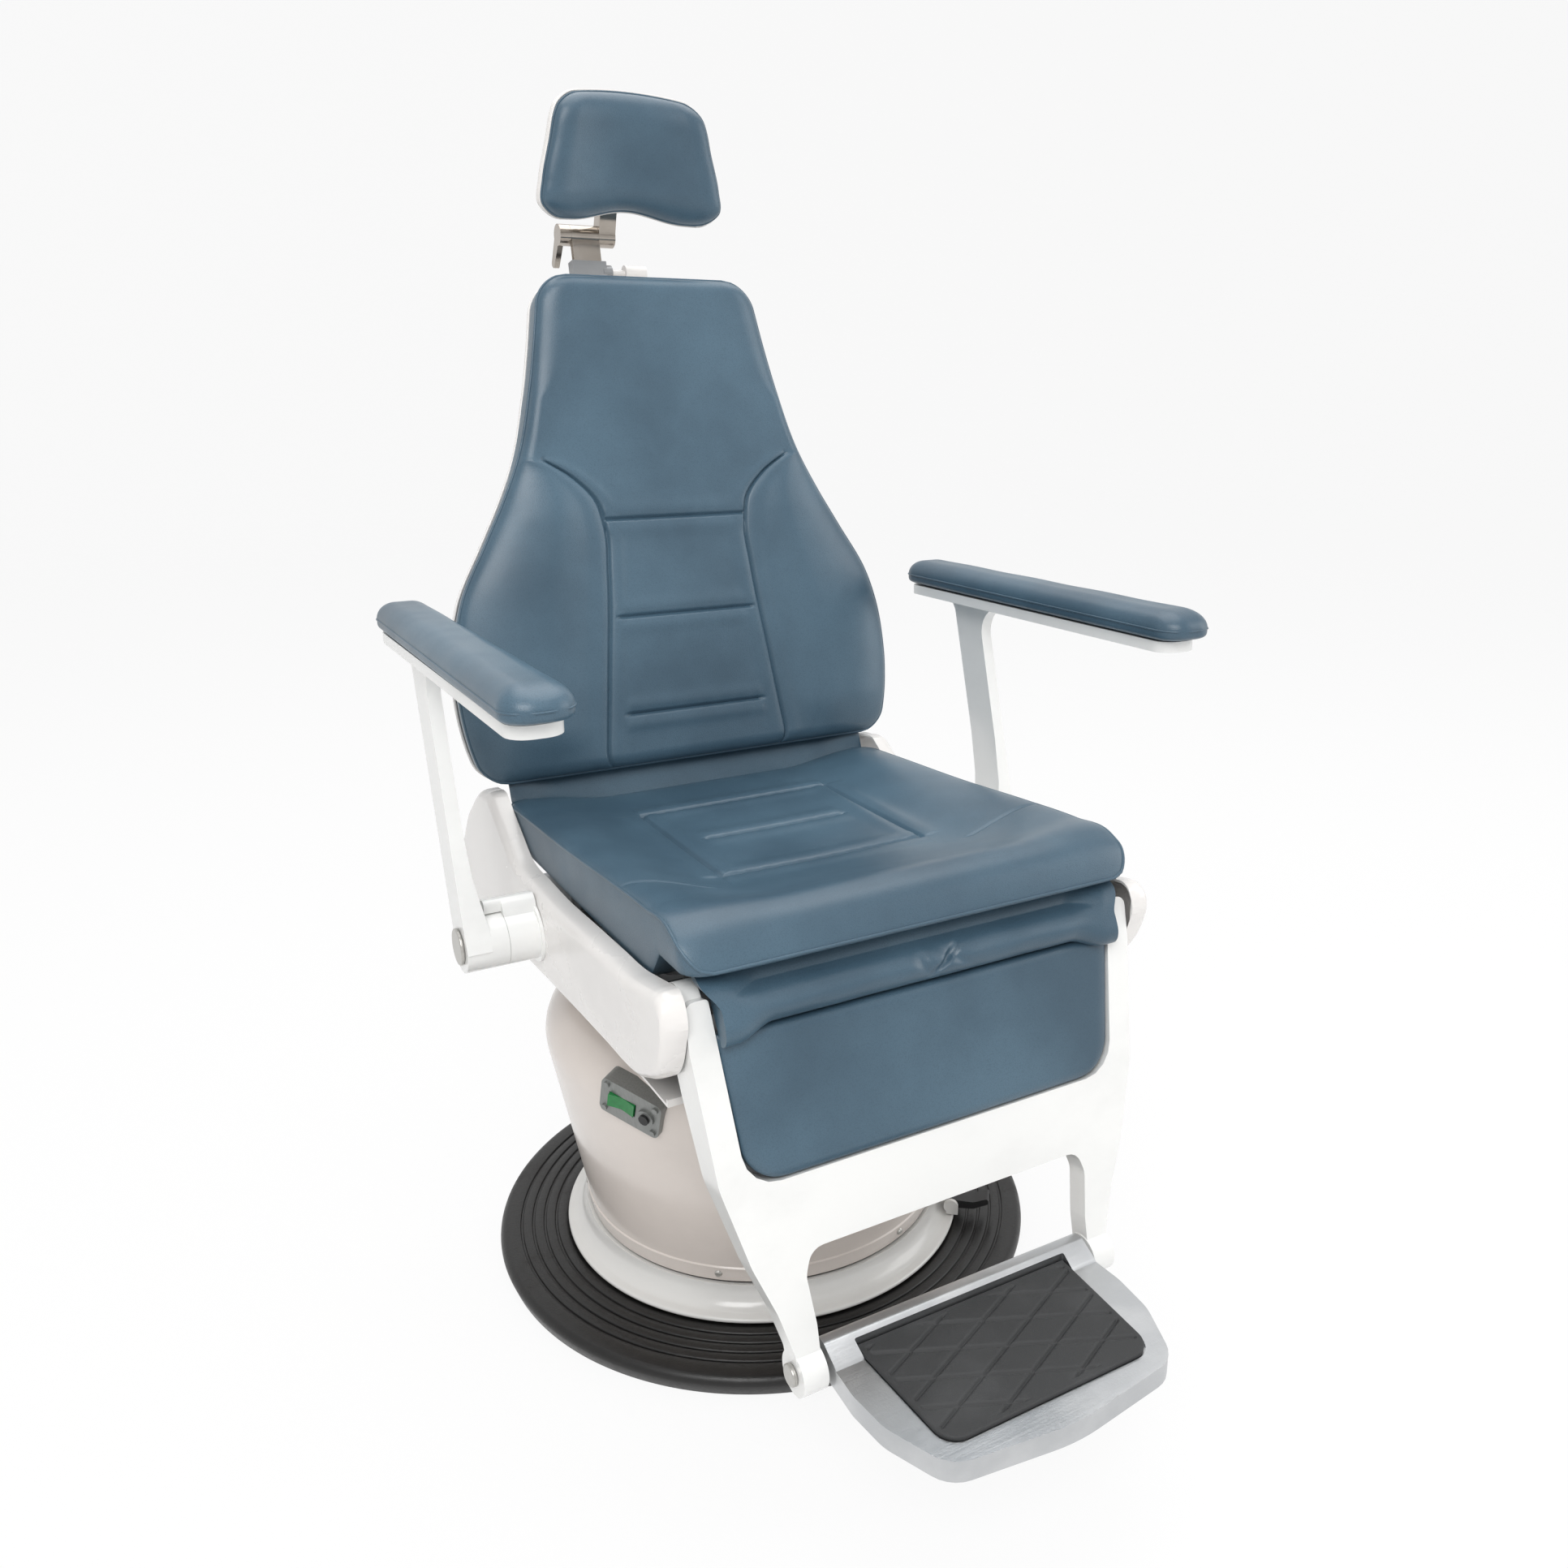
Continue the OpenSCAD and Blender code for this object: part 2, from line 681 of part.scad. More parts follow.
module mains_inlet() color(black_plastic) {
    y1 = inlet_r + inlet_d;
    difference() {
        translate([0, y1, inlet_z]) rotate([90, 0, 0]) linear_extrude(inlet_d * 1.5) polygon(rounded(
            [[-inlet_w / 2, -inlet_h / 2], [inlet_w / 2, -inlet_h / 2], [inlet_w / 2, inlet_h / 2],
             [-inlet_w / 2, inlet_h / 2]], [1, 1, 1, 1] * inlet_h / 8, 3));
        box([-inlet_hole_w / 2, y1 - inlet_hole_d, inlet_z - inlet_hole_h / 2],
            [inlet_hole_w / 2, y1 + eps, inlet_z + inlet_hole_h / 2]);
        cover_body(-seat_gap);
    }
    for (x = [-1, 0, 1])
        box([x * pin_pitch - pin_w / 2, y1 - inlet_hole_d, inlet_z - pin_h / 2],
            [x * pin_pitch + pin_w / 2, y1 - inlet_hole_d + pin_len, inlet_z + pin_h / 2]);
}

module lift_inner_tube() color(steel_metal) rotate_extrude($fn = 120) polygon([
    [inner_r - guide_wall, inner_low], [inner_r, inner_low], [inner_r, deck_z],
    [inner_r - guide_wall, deck_z]]);

module lift_sleeve() color(white_paint) rotate_extrude($fn = 180) polygon([
    [sleeve_r - sleeve_wall, sleeve_low], [sleeve_r, sleeve_low], [sleeve_r, deck_z],
    [sleeve_r - sleeve_flange, deck_z], [sleeve_r - sleeve_flange, deck_z - sleeve_wall],
    [sleeve_r - sleeve_wall, deck_z - sleeve_wall]]);

// Welded seat frame: deck, rails, cross tubes and the cheeks of both hinges
module seat_frame() color(steel_metal) {
    rod_z([0, 0, deck_z], deck_t, sleeve_r);
    pair() {
        box([rail_x, -rail_front, rail_z], [rail_x + rail, rail_back, rail_top]);
        hinge_cheek(hip_y, -hip_y * 0.35, hip_y * 0.05, pin_r);
        hinge_cheek(-knee_y, knee_y * 0.08, knee_y * 0.32, tube_r + run_gap);
        difference() {
            side_plate(rail_x + rail - cheek_t, cheek_t, [[arm_y - arm_plate_hw, rail_z],
                [arm_y + arm_plate_hw, rail_z], [arm_y + arm_pin_r * 1.8, arm_hub_z + arm_pin_r * 1.8],
                [arm_y - arm_pin_r * 1.8, arm_hub_z + arm_pin_r * 1.8]]);
            rod_x([rail_x, arm_y, arm_hub_z], 2 * rail, arm_pin_r);
        }
        for (s = pan_post_share)
            rod_z([rail_x + rail / 2, s * (s < 0 ? knee_y : hip_y), rail_top],
                pan_z - rail_top - seat_gap, post_r);
        box([0, -rail / 2, rail_z], [rail_x, rail / 2, rail_z + deck_t]);
    }
    for (s = cross_y_share)
        box([-rail_x, s * rail_front - cross_h / 2, rail_z], [rail_x, s * rail_front + cross_h / 2,
            rail_z + cross_h]);
}

// Upright cheek plate on a rail: a bore at height hinge_z, its foot from y + a to y + b
module hinge_cheek(y, a, b, bore) difference() {
    side_plate(rail_x, cheek_t, concat([[y + b, rail_z], [y + a, rail_z]],
        [for (i = [0:6]) let (w = (y > 0 ? 200 : 160) - 30 * i)
            [y + ear_r * cos(w), hinge_z + ear_r * sin(w)]]));
    rod_x([rail_x - eps, y, hinge_z], cheek_t + 2 * eps, bore);
}

// Pivot pins of the recline hinge
module hinge_pins() color(zinc) pair()
    rod_x([back_ear_x - eps, hip_y, hinge_z], rail_x + cheek_t + 2 * eps - back_ear_x, pin_r - run_gap / 5);

module seat_pan() color(steel_metal) translate([0, 0, pan_z]) linear_extrude(pan_t) polygon(rounded(
    [[-seat_hw * 0.94, -seat_front * 0.75], [seat_hw * 0.94, -seat_front * 0.75],
     [seat_hw * 0.94, seat_rear - pan_t * 2], [-seat_hw * 0.94, seat_rear - pan_t * 2]],
    [1, 1, 1, 1] * seat_hw / 10, 4));

// Columns and rows of the seat: the rows at .382, .598 and .801 are seams
seam_us = mirrored([0, 0.125, 0.25, 0.375, 0.47, 0.5, 0.53, 0.65, 0.8, 0.92, 0.98, 1]);
seat_vs = [0, 0.006, 0.025, 0.06, 0.11, 0.17, 0.23, 0.292, 0.33, 0.37, 0.382, 0.394, 0.44, 0.51, 0.586,
    0.598, 0.61, 0.67, 0.73, 0.789, 0.801, 0.813, 0.87, 0.93, 0.975, 0.993, 1];
seat_seam_v = [0.382, 0.598, 0.801];
seat_corner_share = 0.1;
seat_crown = 8;
seat_sink = 6;
seat_seam = 0.49 * seat_hw;
seat_groove = 3.5;
seat_step = 31;
seat_span = seat_front + seat_rear;

// Height of the seam round the seat's sides: high at the knees, falling over the front
function seat_edge(y) = seat_edge_z + lookup(y / seat_front,
    [[-1, -12], [-0.965, 4], [-0.9, 22], [-0.5, 16], [0.2, 1], [0.47, -4]]) * seat_dish / 24;

// Height of the seat's underside: it steps up ahead of the pan to clear the leg rest
function seat_under(y) = lookup(y / seat_front,
    [[-1, seat_low_z + seat_step], [-0.82, seat_low_z + seat_step], [-0.76, seat_low_z], [1, seat_low_z]]);

// Depth of the stitched lines: round the sunken panel, across it and over the bolsters
function seat_seams(u, v) = seat_groove * max(
    v > 0.378 && v < 0.805 ? bump(abs(u) - 0.5, 0.03) : 0,
    abs(u) < 0.5 ? bump(v - seat_seam_v[0], 0.012) + bump(v - seat_seam_v[2], 0.012) : 0,
    abs(u) < 0.4 ? bump(v - seat_seam_v[1], 0.012) : 0,
    abs(u) > 0.6 ? 0.6 * bump(v - 0.292, 0.03) : 0);

module seat_cushion() color(vinyl_blue)
    pad(seam_us, seat_vs, function (u, v, side)
        let (y = -seat_front + v * seat_span,
             hw = seat_hw - end_cut(min(v, 1 - v) * seat_span, seat_corner_share * seat_hw),
             x = seam_col(u, seat_seam * hw / seat_hw, hw), rise = rim_rise(u, v, 0.3, 0.12),
             panel = smooth(2 - 2 * abs(u)) * smooth(v / seat_seam_v[0]), edge = seat_edge(y),
             floor_z = seat_edge_z - seat_dish / 2)
        [x, y, side > 0 ? edge + seat_crown * rise - (edge - floor_z + seat_sink) * panel
                - seat_seams(u, v) * rise
            : edge - (edge - seat_under(y)) * min(1, 1.4 * sqrt(rise))]);

// Side view of a side cover: stations along it with the heights of its lower and upper edge
side_shape = [[-370, 495, 502], [-369.5, 493.6, 503.7], [-368, 488, 509.3], [-365, 479, 516.3],
    [-360, 464.1, 522.3], [-353, 450.5, 525.5], [-345, 441.1, 525.2], [-332, 431.7, 522.8],
    [-318, 425.4, 520.1], [-300, 418.1, 516.8], [-284, 415.4, 513.8], [-220, 412.5, 510.5],
    [-140, 408.8, 507.3], [-60, 404.2, 504], [0, 400.1, 505.5], [46, 397, 506.7], [56, 396.3, 508.3],
    [66, 395.7, 511.6], [90, 394.5, 526], [114, 393.3, 541.4], [126, 392.7, 549.6], [138, 392.1, 557.8],
    [147, 391.6, 563.5], [158, 391.1, 565], [174, 390.3, 562.9], [190, 389.5, 560.7], [206, 388.8, 552.5],
    [228, 393.1, 536], [250, 405, 519.1], [266, 414, 499.8], [278, 421.6, 484.2], [286, 430.8, 473.5],
    [290, 439.1, 465.2], [292, 446, 458]];
side_low = [for (p = side_shape) [p[0], p[1]]];
side_high = [for (p = side_shape) [p[0], p[2]]];
side_first = side_shape[0][0];
side_span = side_shape[len(side_shape) - 1][0] - side_first;

// Radius of the cover's rounded edge, crown of its face, and the share of columns on the face
side_round = 0.5 * side_t;
side_crown = 1.5;
side_share = 0.4;

// 0 at an edge and 1 beyond the distance 1 from it, rising as a quarter round
function quarter(a) = let (b = 1 - max(0, min(1, a))) sqrt(1 - b * b);

// Moulded side cover: a crowned face with a rounded edge, hollow from inside
module side_cover() difference() {
    pad(mirrored([0, side_share, 0.6, 0.78, 0.92, 1]),
        [for (p = side_shape) (p[0] - side_first) / side_span], function (u, v, side)
            let (y = side_first + v * side_span, low = lookup(y, side_low), high = lookup(y, side_high),
                 half = (high - low) / 2, r = min(side_round, 0.8 * half), flat = abs(u) <= side_share,
                 d = flat ? r : r * pow((1 - abs(u)) / (1 - side_share), 2),
                 h = flat ? (half - r) * abs(u) / side_share : half - d,
                 e = min(y - side_first, side_first + side_span - y), s = side > 0 ? 0 : mould_wall,
                 rise = quarter((d - s) / (side_round - s)) * quarter((e - s) / (side_round - s) * 2))
            [side_x - side_t + (side_t - s - side_crown * pow(h / half, 2)) * sqrt(rise)
                + (side > 0 ? 0 : min(d, e, s) / 8), y, (low + high) / 2 - sign(u) * h]);
    rod_x([side_x - side_t - eps, arm_y, arm_hub_z], side_t + 2 * eps, arm_pin_r + seat_gap);
}

module side_cover_left() color(white_paint) side_cover();

module side_cover_right() color(white_paint) mirror([1, 0, 0]) side_cover();

// Tray that closes the underside of the seat frame round the sleeve
module seat_under_cover() color(white_paint) difference() {
    union() {
        box([-side_x + side_t + side_gap, -rail_front, deck_z],
            [side_x - side_t - side_gap, rail_back, deck_z + mould_wall]);
        for (y = [-rail_front, rail_back - mould_wall])
            box([-side_x + side_t + side_gap, y, deck_z], [side_x - side_t - side_gap, y + mould_wall,
                rail_z - seat_gap]);
    }
    rod_z([0, 0, deck_z - eps], rail_z - deck_z + 2 * eps, sleeve_r + side_gap);
}

// Fixed boss of an arm pivot, with the stop lug that laps the arm's hub
module arm_boss() difference() {
    union() {
        rod_x([boss_low_x, arm_y, arm_hub_z], hub_x - seat_gap - boss_low_x, hub_r);
        rod_x([boss_low_x, arm_y, arm_hub_z], boss_flange_t, boss_flange_r);
        side_plate(boss_low_x, hub_x - boss_low_x - seat_gap, rounded(
            [[arm_y - hub_r * 0.7, arm_hub_z], [arm_y + hub_r * 0.9, arm_hub_z],
             [arm_y + hub_r * 1.1, arm_hub_z + lug_reach],
             [arm_y - hub_r * 0.1, arm_hub_z + lug_reach * 1.3]],
            [2, 2, lug_r * 0.7, lug_r * 0.7], 5));
        side_plate(boss_low_x, post_x - side_gap - boss_low_x, rounded(
            [[arm_y - hub_r * 0.02, arm_hub_z + hub_r + side_gap],
             [arm_y + hub_r * 1.05, arm_hub_z + hub_r * 0.85 + side_gap],
             [arm_y + hub_r * 1.1, arm_hub_z + lug_reach],
             [arm_y - hub_r * 0.1, arm_hub_z + lug_reach * 1.3]],
            [2, 2, lug_r * 0.7, lug_r * 0.7], 5));
    }
    rod_x([boss_low_x - eps, arm_y, arm_hub_z], hub_x - boss_low_x + 2 * eps, arm_pin_r);
}

module arm_boss_left() color(white_paint) arm_boss();

module arm_boss_right() color(white_paint) mirror([1, 0, 0]) arm_boss();

// Pins of the arm pivots with their grey end caps
module arm_pivot_pins() color(zinc) pair() {
    rod_x([rail_x + rail - cheek_t - eps, arm_y, arm_hub_z],
        post_x + post_t + seat_gap - rail_x - rail + cheek_t + eps, arm_pin_r - run_gap / 5);
    rod_x([post_x + post_t + seat_gap, arm_y, arm_hub_z], cap_h, cap_r);
}

// One armrest casting: hub, leaning post and the tray under the pad
module armrest() difference() {
    union() {
        rod_x([hub_x, arm_y, arm_hub_z], post_x + post_t - hub_x, hub_r);
        intersection() {
            side_plate(post_x, post_t, rounded(
                [[arm_y - post_w * 0.7, arm_hub_z], [arm_y + post_w / 2, arm_hub_z - hub_r / 3],
                 [arm_y + post_w * 0.95, arm_hub_z + hub_r * 2], [post_top_y + post_w * 0.8,
                  arm_z - tray_t * 2], [post_top_y + post_w * 1.2, arm_z - tray_t * 0.5],
                 [post_top_y - post_w * 1.3, arm_z - tray_t * 0.5],
                 [post_top_y - post_w * 0.45, arm_z - tray_t * 2.6], [arm_y - post_w * 0.3,
                  arm_hub_z + hub_r * 1.6]],
                [0, 0, 120, arm_fillet, 0, 0, arm_fillet * 1.4, 120], 5));
            translate([0, arm_back_y, 0]) rotate([90, 0, 0]) linear_extrude(arm_len) polygon(
                [[post_x, arm_hub_z - hub_r], [post_x + post_t, arm_hub_z - hub_r],
                 [post_x + post_t, arm_z], [post_x + post_t * 0.44, arm_z],
                 [post_x + post_t * 0.44, arm_hub_z + hub_r * 4.4], [post_x + post_t * 0.34,
                  arm_hub_z + hub_r * 2.6], [post_x, arm_hub_z + hub_r * 0.8]]);
        }
        translate([0, 0, arm_z - tray_t]) linear_extrude(tray_t - seat_gap) polygon(arm_plan(tray_inset,
            tray_hw));
    }
    rod_x([hub_x - eps, arm_y, arm_hub_z], post_x + post_t - hub_x + 2 * eps, arm_pin_r + run_gap);
}

// Plan of the arm tray: length shortened by d at each end, half width hw
function arm_plan(d, hw) = rounded(
    [[arm_x - hw, arm_back_y - d], [arm_x - hw, arm_back_y - arm_len + d],
     [arm_x + hw, arm_back_y - arm_len + d], [arm_x + hw, arm_back_y - d]],
    [hw * 0.6, hw * 0.8, hw * 0.8, hw * 0.6], 6);

module armrest_left() color(white_paint) armrest();

module armrest_right() color(white_paint) mirror([1, 0, 0]) armrest();

// Upholstered arm pad, narrower at its rear end
module arm_pad() {
    pad(even_us(8), even_vs(16), function (u, v, side)
        let (y = arm_back_y - arm_len + v * arm_len, d = min(v, 1 - v) * arm_len,
             hw = arm_hw * (1 - 0.12 * v) - end_cut(d, arm_hw * 0.8), rise = rim_rise(u, v, 0.7, 0.14))
        [arm_x + hw * u, y, side > 0 ? arm_z + arm_t * 0.4 + arm_t * 0.6 * rise
            : arm_z + arm_t * 0.4 * (1 - pow(rise, 0.4))]);
}

module arm_pad_left() color(vinyl_blue) arm_pad();

module arm_pad_right() color(vinyl_blue) mirror([1, 0, 0]) arm_pad();

// Electric drive of the recline: gear case, motor and the tube that guides its rod
module recline_actuator() color(black_plastic) difference() {
    union() {
        box([-gear_w / 2, -drive_tube_front - gear_l, rail_z + cross_h],
            [gear_w / 2, -drive_tube_front, rail_z + cross_h + gear_h]);
        rod_x([gear_w / 2, -drive_tube_front - gear_l / 2, drive_z], motor_l, motor_r);
        rod_y([0, -drive_tube_front, drive_z], drive_tube_front - drive_tube_back, drive_tube_r);
    }
    rod_y([0, -drive_tube_front - gear_l + drive_wall, drive_z], drive_tube_front, drive_rod_r + run_gap);
}

// Rod of the drive with the slotted head that carries the cross bar
module actuator_rod() color(chrome_metal) difference() {
    union() {
        rod_y([0, -drive_tube_front + rod_tail, drive_z],
            drive_tube_front - rod_tail + cross_bar_y - yoke_l / 2 + eps, drive_rod_r);
        box([-yoke_w / 2, cross_bar_y - yoke_l / 2, drive_z - yoke_h / 2],
            [yoke_w / 2, cross_bar_y + yoke_l / 2, drive_z + yoke_h / 2]);
    }
    box([-yoke_w, cross_bar_y - slot_l / 2, drive_z - slot_h / 2],
        [yoke_w, cross_bar_y + slot_l / 2, drive_z + slot_h / 2]);
}

// Bars that tie the back's lever to the leg rest's lever, with the drive's cross bar
module sync_link() color(steel_metal) {
    z = hinge_z - lever_down;
    pair() difference() {
        union() {
            rod_x([link_x, hip_y + lever_back, z], link_t, link_eye_r);
            rod_x([link_x, -knee_y + lever_back, z], link_t, link_eye_r);
            box([link_x, -knee_y + lever_back, z - link_h / 2], [link_x + link_t, hip_y + lever_back,
                z + link_h / 2]);
        }
        rod_x([link_x - eps, hip_y + lever_back, z], link_t + 2 * eps, stub_r + run_gap);
        rod_x([link_x - eps, -knee_y + lever_back, z], link_t + 2 * eps, stub_r + open_gap);
    }
    rod_x([-link_x - link_t / 2, cross_bar_y, z], 2 * link_x + link_t, cross_bar_r);
}

// Flap behind the seat: reach, height of its front below the seat's seam, climb, half thickness
flap_len = 24;
flap_drop = 8;
flap_climb = 19;
flap_t = 3;

// Soft flap that fills the gap behind the seat cushion
module hip_gusset() color(vinyl_blue) pad(even_us(10), even_vs(6), function (u, v, side)
    let (rise = rim_rise(u, v, 0.1, 0.5))
    [seat_hw * 0.97 * u, seat_rear + seat_gap + v * flap_len,
     seat_edge_z - flap_drop + flap_climb * smooth(v) + side * flap_t * rise]);

// Roll under the seat: its lower edge ahead of and below the knee hinge, its height, how far
// its top is tucked in, its bulge to the front and to the rear, and its room at both ends
roll_out = 32;
roll_drop = 20;
roll_h = 52;
roll_tuck = 24;
roll_front = 18;
roll_rear = 6;
roll_side = 3;

// Vinyl roll under the front of the seat, over the top of the leg cushion
module knee_apron() color(vinyl_blue) pad(even_us(14), even_vs(8), function (u, v, side)
    let (rise = rim_rise(u, v, 0.06, 0.9))
    [(pad_hw_top - roll_side) * u,
     roll_tuck * v * v - knee_y - roll_out - (side > 0 ? roll_front : -roll_rear) * rise,
     hinge_z - roll_drop + roll_h * v]);

// Half width of the back at share v of its length, widest over the hips
back_shares = [[0, 0.93], [0.05, 0.966], [0.12, 0.993], [0.2, 1], [0.3, 0.979], [0.37, 0.937],
    [0.48, 0.812], [0.56, 0.72], [0.64, 0.641], [0.77, 0.561], [0.86, 0.519], [0.94, 0.488], [1, 0.466]];
function back_half(v) = back_hw * lookup(v, back_shares);

// Rows of the back: those at .108, .311 and .512 are the stitched channels
back_vs = [0, 0.006, 0.025, 0.06, 0.096, 0.108, 0.12, 0.16, 0.21, 0.255, 0.299, 0.311, 0.323, 0.37, 0.42,
    0.465, 0.5, 0.512, 0.524, 0.56, 0.6, 0.64, 0.68, 0.74, 0.81, 0.88, 0.94, 0.985, 1];
back_seam_v = [0.108, 0.311, 0.512];
back_groove = 4;
bolster_rise = 10;
back_crown = 4;
back_corner_low = 26;
back_corner_top = 34;
spine_hw = 54;
spine_fall = 46;

// How much narrower the back is at its rounded ends
function back_cut(v) = end_cut(min(v, 1 - v) * back_h, v < 0.5 ? back_corner_low : back_corner_top);

// Distance from the middle of the seam that splits off the side bolsters
function back_seam(v) = min(0.86 * back_half(v), back_hw * lookup(v, [[0, 0.432], [0.2, 0.38], [0.4, 0.332],
    [0.5, 0.324], [0.56, 0.36], [0.6, 0.44], [0.66, 0.62], [0.8, 0.4], [1, 0.3]]));

// Depth of the stitched lines of the back
function back_seams(u, v) = back_groove * max(v < 0.66 ? bump(abs(u) - 0.5, 0.03) : 0,
    abs(u) < 0.4 ? bump(v - back_seam_v[0], 0.012) + bump(v - back_seam_v[1], 0.012)
        + bump(v - back_seam_v[2], 0.012) : 0);

module back_cushion() color(vinyl_blue) in_back()
    pad(seam_us, back_vs, function (u, v, side)
        let (hw = back_half(v) - back_cut(v),
             x = seam_col(u, back_seam(v) * hw / back_half(v), hw), rise = rim_rise(u, v, 0.3, 0.06),
             wing = bolster_rise * smooth((abs(u) - 0.5) / 0.25) * smooth((0.66 - v) / 0.15)
                 * smooth(v / 0.1), rim_t = back_pad_t * 0.35)
        [x, side > 0 ? rim_t - (rim_t + wing - back_crown) * rise + back_seams(u, v) * rise
            : rim_t + (back_pad_t - rim_t) * min(1, 1.4 * pow(rise, 0.4)), v * back_h]);

// Depth of the shell's rear face: a shallow dish with a raised spine for the head guide
function shell_rear(u, v, wall) = let (x = abs(u) * back_half(v))
    shell_depth - wall + spine_depth * bump(max(0, x - spine_hw), spine_fall)
        * min(1, max(0, (v - 0.12) / 0.12)) * (v > 0.5 ? 1 : 0.4 + 0.6 * v / 0.5);

module shell_solid(wall) pad(even_us(18), even_vs(18), function (u, v, side)
    let (hw = back_half(v) - back_cut(v) - wall, rise = rim_rise(u, v, 0.16, 0.08))
    [hw * u, back_pad_t + seat_gap + (side > 0 ? (wall > 0 ? -eps : 0) : shell_rear(u, v, wall) * rise),
     v > 0.5 ? v * back_h - wall : v * back_h + (0.5 - v) * 2 * wall]);

module back_shell() color(white_paint) in_back() difference() {
    shell_solid(0);
    shell_solid(mould_wall);
    pair() box([back_ear_x - side_gap, back_pad_t - eps, -eps], [back_ear_x + back_ear_t + side_gap,
        back_pad_t + shell_depth * 2, back_h * 0.08]);
    box([mast_x - guide_hw(), mast_d - guide_hd(), back_h * 0.9], [mast_x + guide_hw(), mast_d + guide_hd(),
        back_h * 1.2]);
}

function guide_hw() = mast_w / 2 + guide_skin + slide_gap + seat_gap;
function guide_hd() = mast_t / 2 + guide_skin + slide_gap + seat_gap;

// Screws that hold the shell, on its rear face
module shell_screws() color(zinc) in_back() {
    pair() for (s = [0.16, 0.8])
        rod_y([back_half(s) * 0.7, back_pad_t + 2 * seat_gap + shell_depth, s * back_h], screw_h, screw_r);
}

// Steel frame of the back: hinge ears with levers, cross bars and uprights
module back_frame() color(steel_metal) {
    bar_t = back_pad_t + 2 * seat_gap;
    lever = [hip_y + lever_back, hinge_z - lever_down];
    pair() difference() {
        union() {
            rod_x([back_ear_x, hip_y, hinge_z], back_ear_t, ear_r);
            in_back() side_plate(back_ear_x, back_ear_t, [[bar_t, back_h * 0.16], [bar_t, 0],
                [bar_t + bar * 0.7, -ear_r * 2.4], [bar_t + bar * 3, -ear_r * 2.6], [bar_t + bar * 1.2, 0],
                [bar_t + bar * 1.2, back_h * 0.16]]);
            side_plate(back_ear_x, back_ear_t, [[hip_y - ear_r * 0.9, hinge_z - ear_r * 0.4],
                [lever[0] - stub_r * 1.6, lever[1] - stub_r], [lever[0] + stub_r * 1.6,
                 lever[1] - stub_r * 0.6], [hip_y + ear_r, hinge_z]]);
            rod_x([back_ear_x, lever[0], lever[1]], back_ear_t, stub_r * 2);
            rod_x([link_x - side_gap, lever[0], lever[1]], back_ear_x - link_x + 2 * side_gap, stub_r);
        }
        rod_x([back_ear_x - eps, hip_y, hinge_z], back_ear_t + 2 * eps, pin_r + run_gap);
    }
    in_back() {
        pair() box([upright_x - bar / 2, bar_t, back_h * 0.05], [upright_x + bar / 2, bar_t + bar,
            back_h * 0.95]);
        box([-back_ear_x - back_ear_t / 2, bar_t, back_h * 0.09], [back_ear_x + back_ear_t / 2,
            bar_t + bar, back_h * 0.09 + bar]);
        for (s = [0.5, 0.74, 0.93])
            box([-upright_x, bar_t, back_h * s], [upright_x, bar_t + bar, back_h * s + bar]);
        for (s = [0.74, 0.93])
            box([mast_x - mast_w / 2, bar_t, back_h * s], [mast_x + mast_w / 2, mast_d - guide_hd(),
                back_h * s + bar]);
    }
}

// Steel guide that the headrest mast slides in, with the knob's boss on its left side
module headrest_guide() color(steel_metal) in_back() difference() {
    union() {
        box([mast_x - guide_hw() + seat_gap, mast_d - guide_hd() + seat_gap, guide_low_s],
            [mast_x + guide_hw() - seat_gap, mast_d + guide_hd() - seat_gap, guide_top_s]);
        rod_x([mast_x + mast_w / 2, mast_d, knob_s], guide_skin + knob_boss, knob_boss_r);
    }
    box([mast_x - mast_w / 2 - slide_gap, mast_d - mast_t / 2 - slide_gap, guide_low_s - eps],
        [mast_x + mast_w / 2 + slide_gap, mast_d + mast_t / 2 + slide_gap, guide_top_s + eps]);
    rod_x([mast_x + mast_w / 2 - eps, mast_d, knob_s], guide_skin + knob_boss + 2 * eps,
        knob_pin_r + run_gap);
}

// Clamp knob that holds the mast's height
module height_knob() color(white_paint) in_back() {
    rod_x([mast_x + mast_w / 2 + seat_gap + slide_gap, mast_d, knob_s], knob_shaft + eps, knob_pin_r);
    rod_x([mast_x + mast_w / 2 + knob_shaft, mast_d, knob_s], knob_len, knob_r);
}

// Flat chromed mast with the barrel of the neck joint across its top
module headrest_mast() color(chrome_metal) difference() {
    union() {
        rod_x([mast_x - mast_w / 2 - slide_gap / 3, tilt_y, tilt_z], mast_w + slide_gap * 2 / 3, tilt_r);
        in_back() box([mast_x - mast_w / 2, mast_d - mast_t / 2, mast_low_s],
            [mast_x + mast_w / 2, mast_d + mast_t / 2, mast_top_s - tilt_r * 0.6]);
    }
    rod_x([mast_x - mast_w, tilt_y, tilt_z], mast_w * 2, neck_pin_r + run_gap);
}

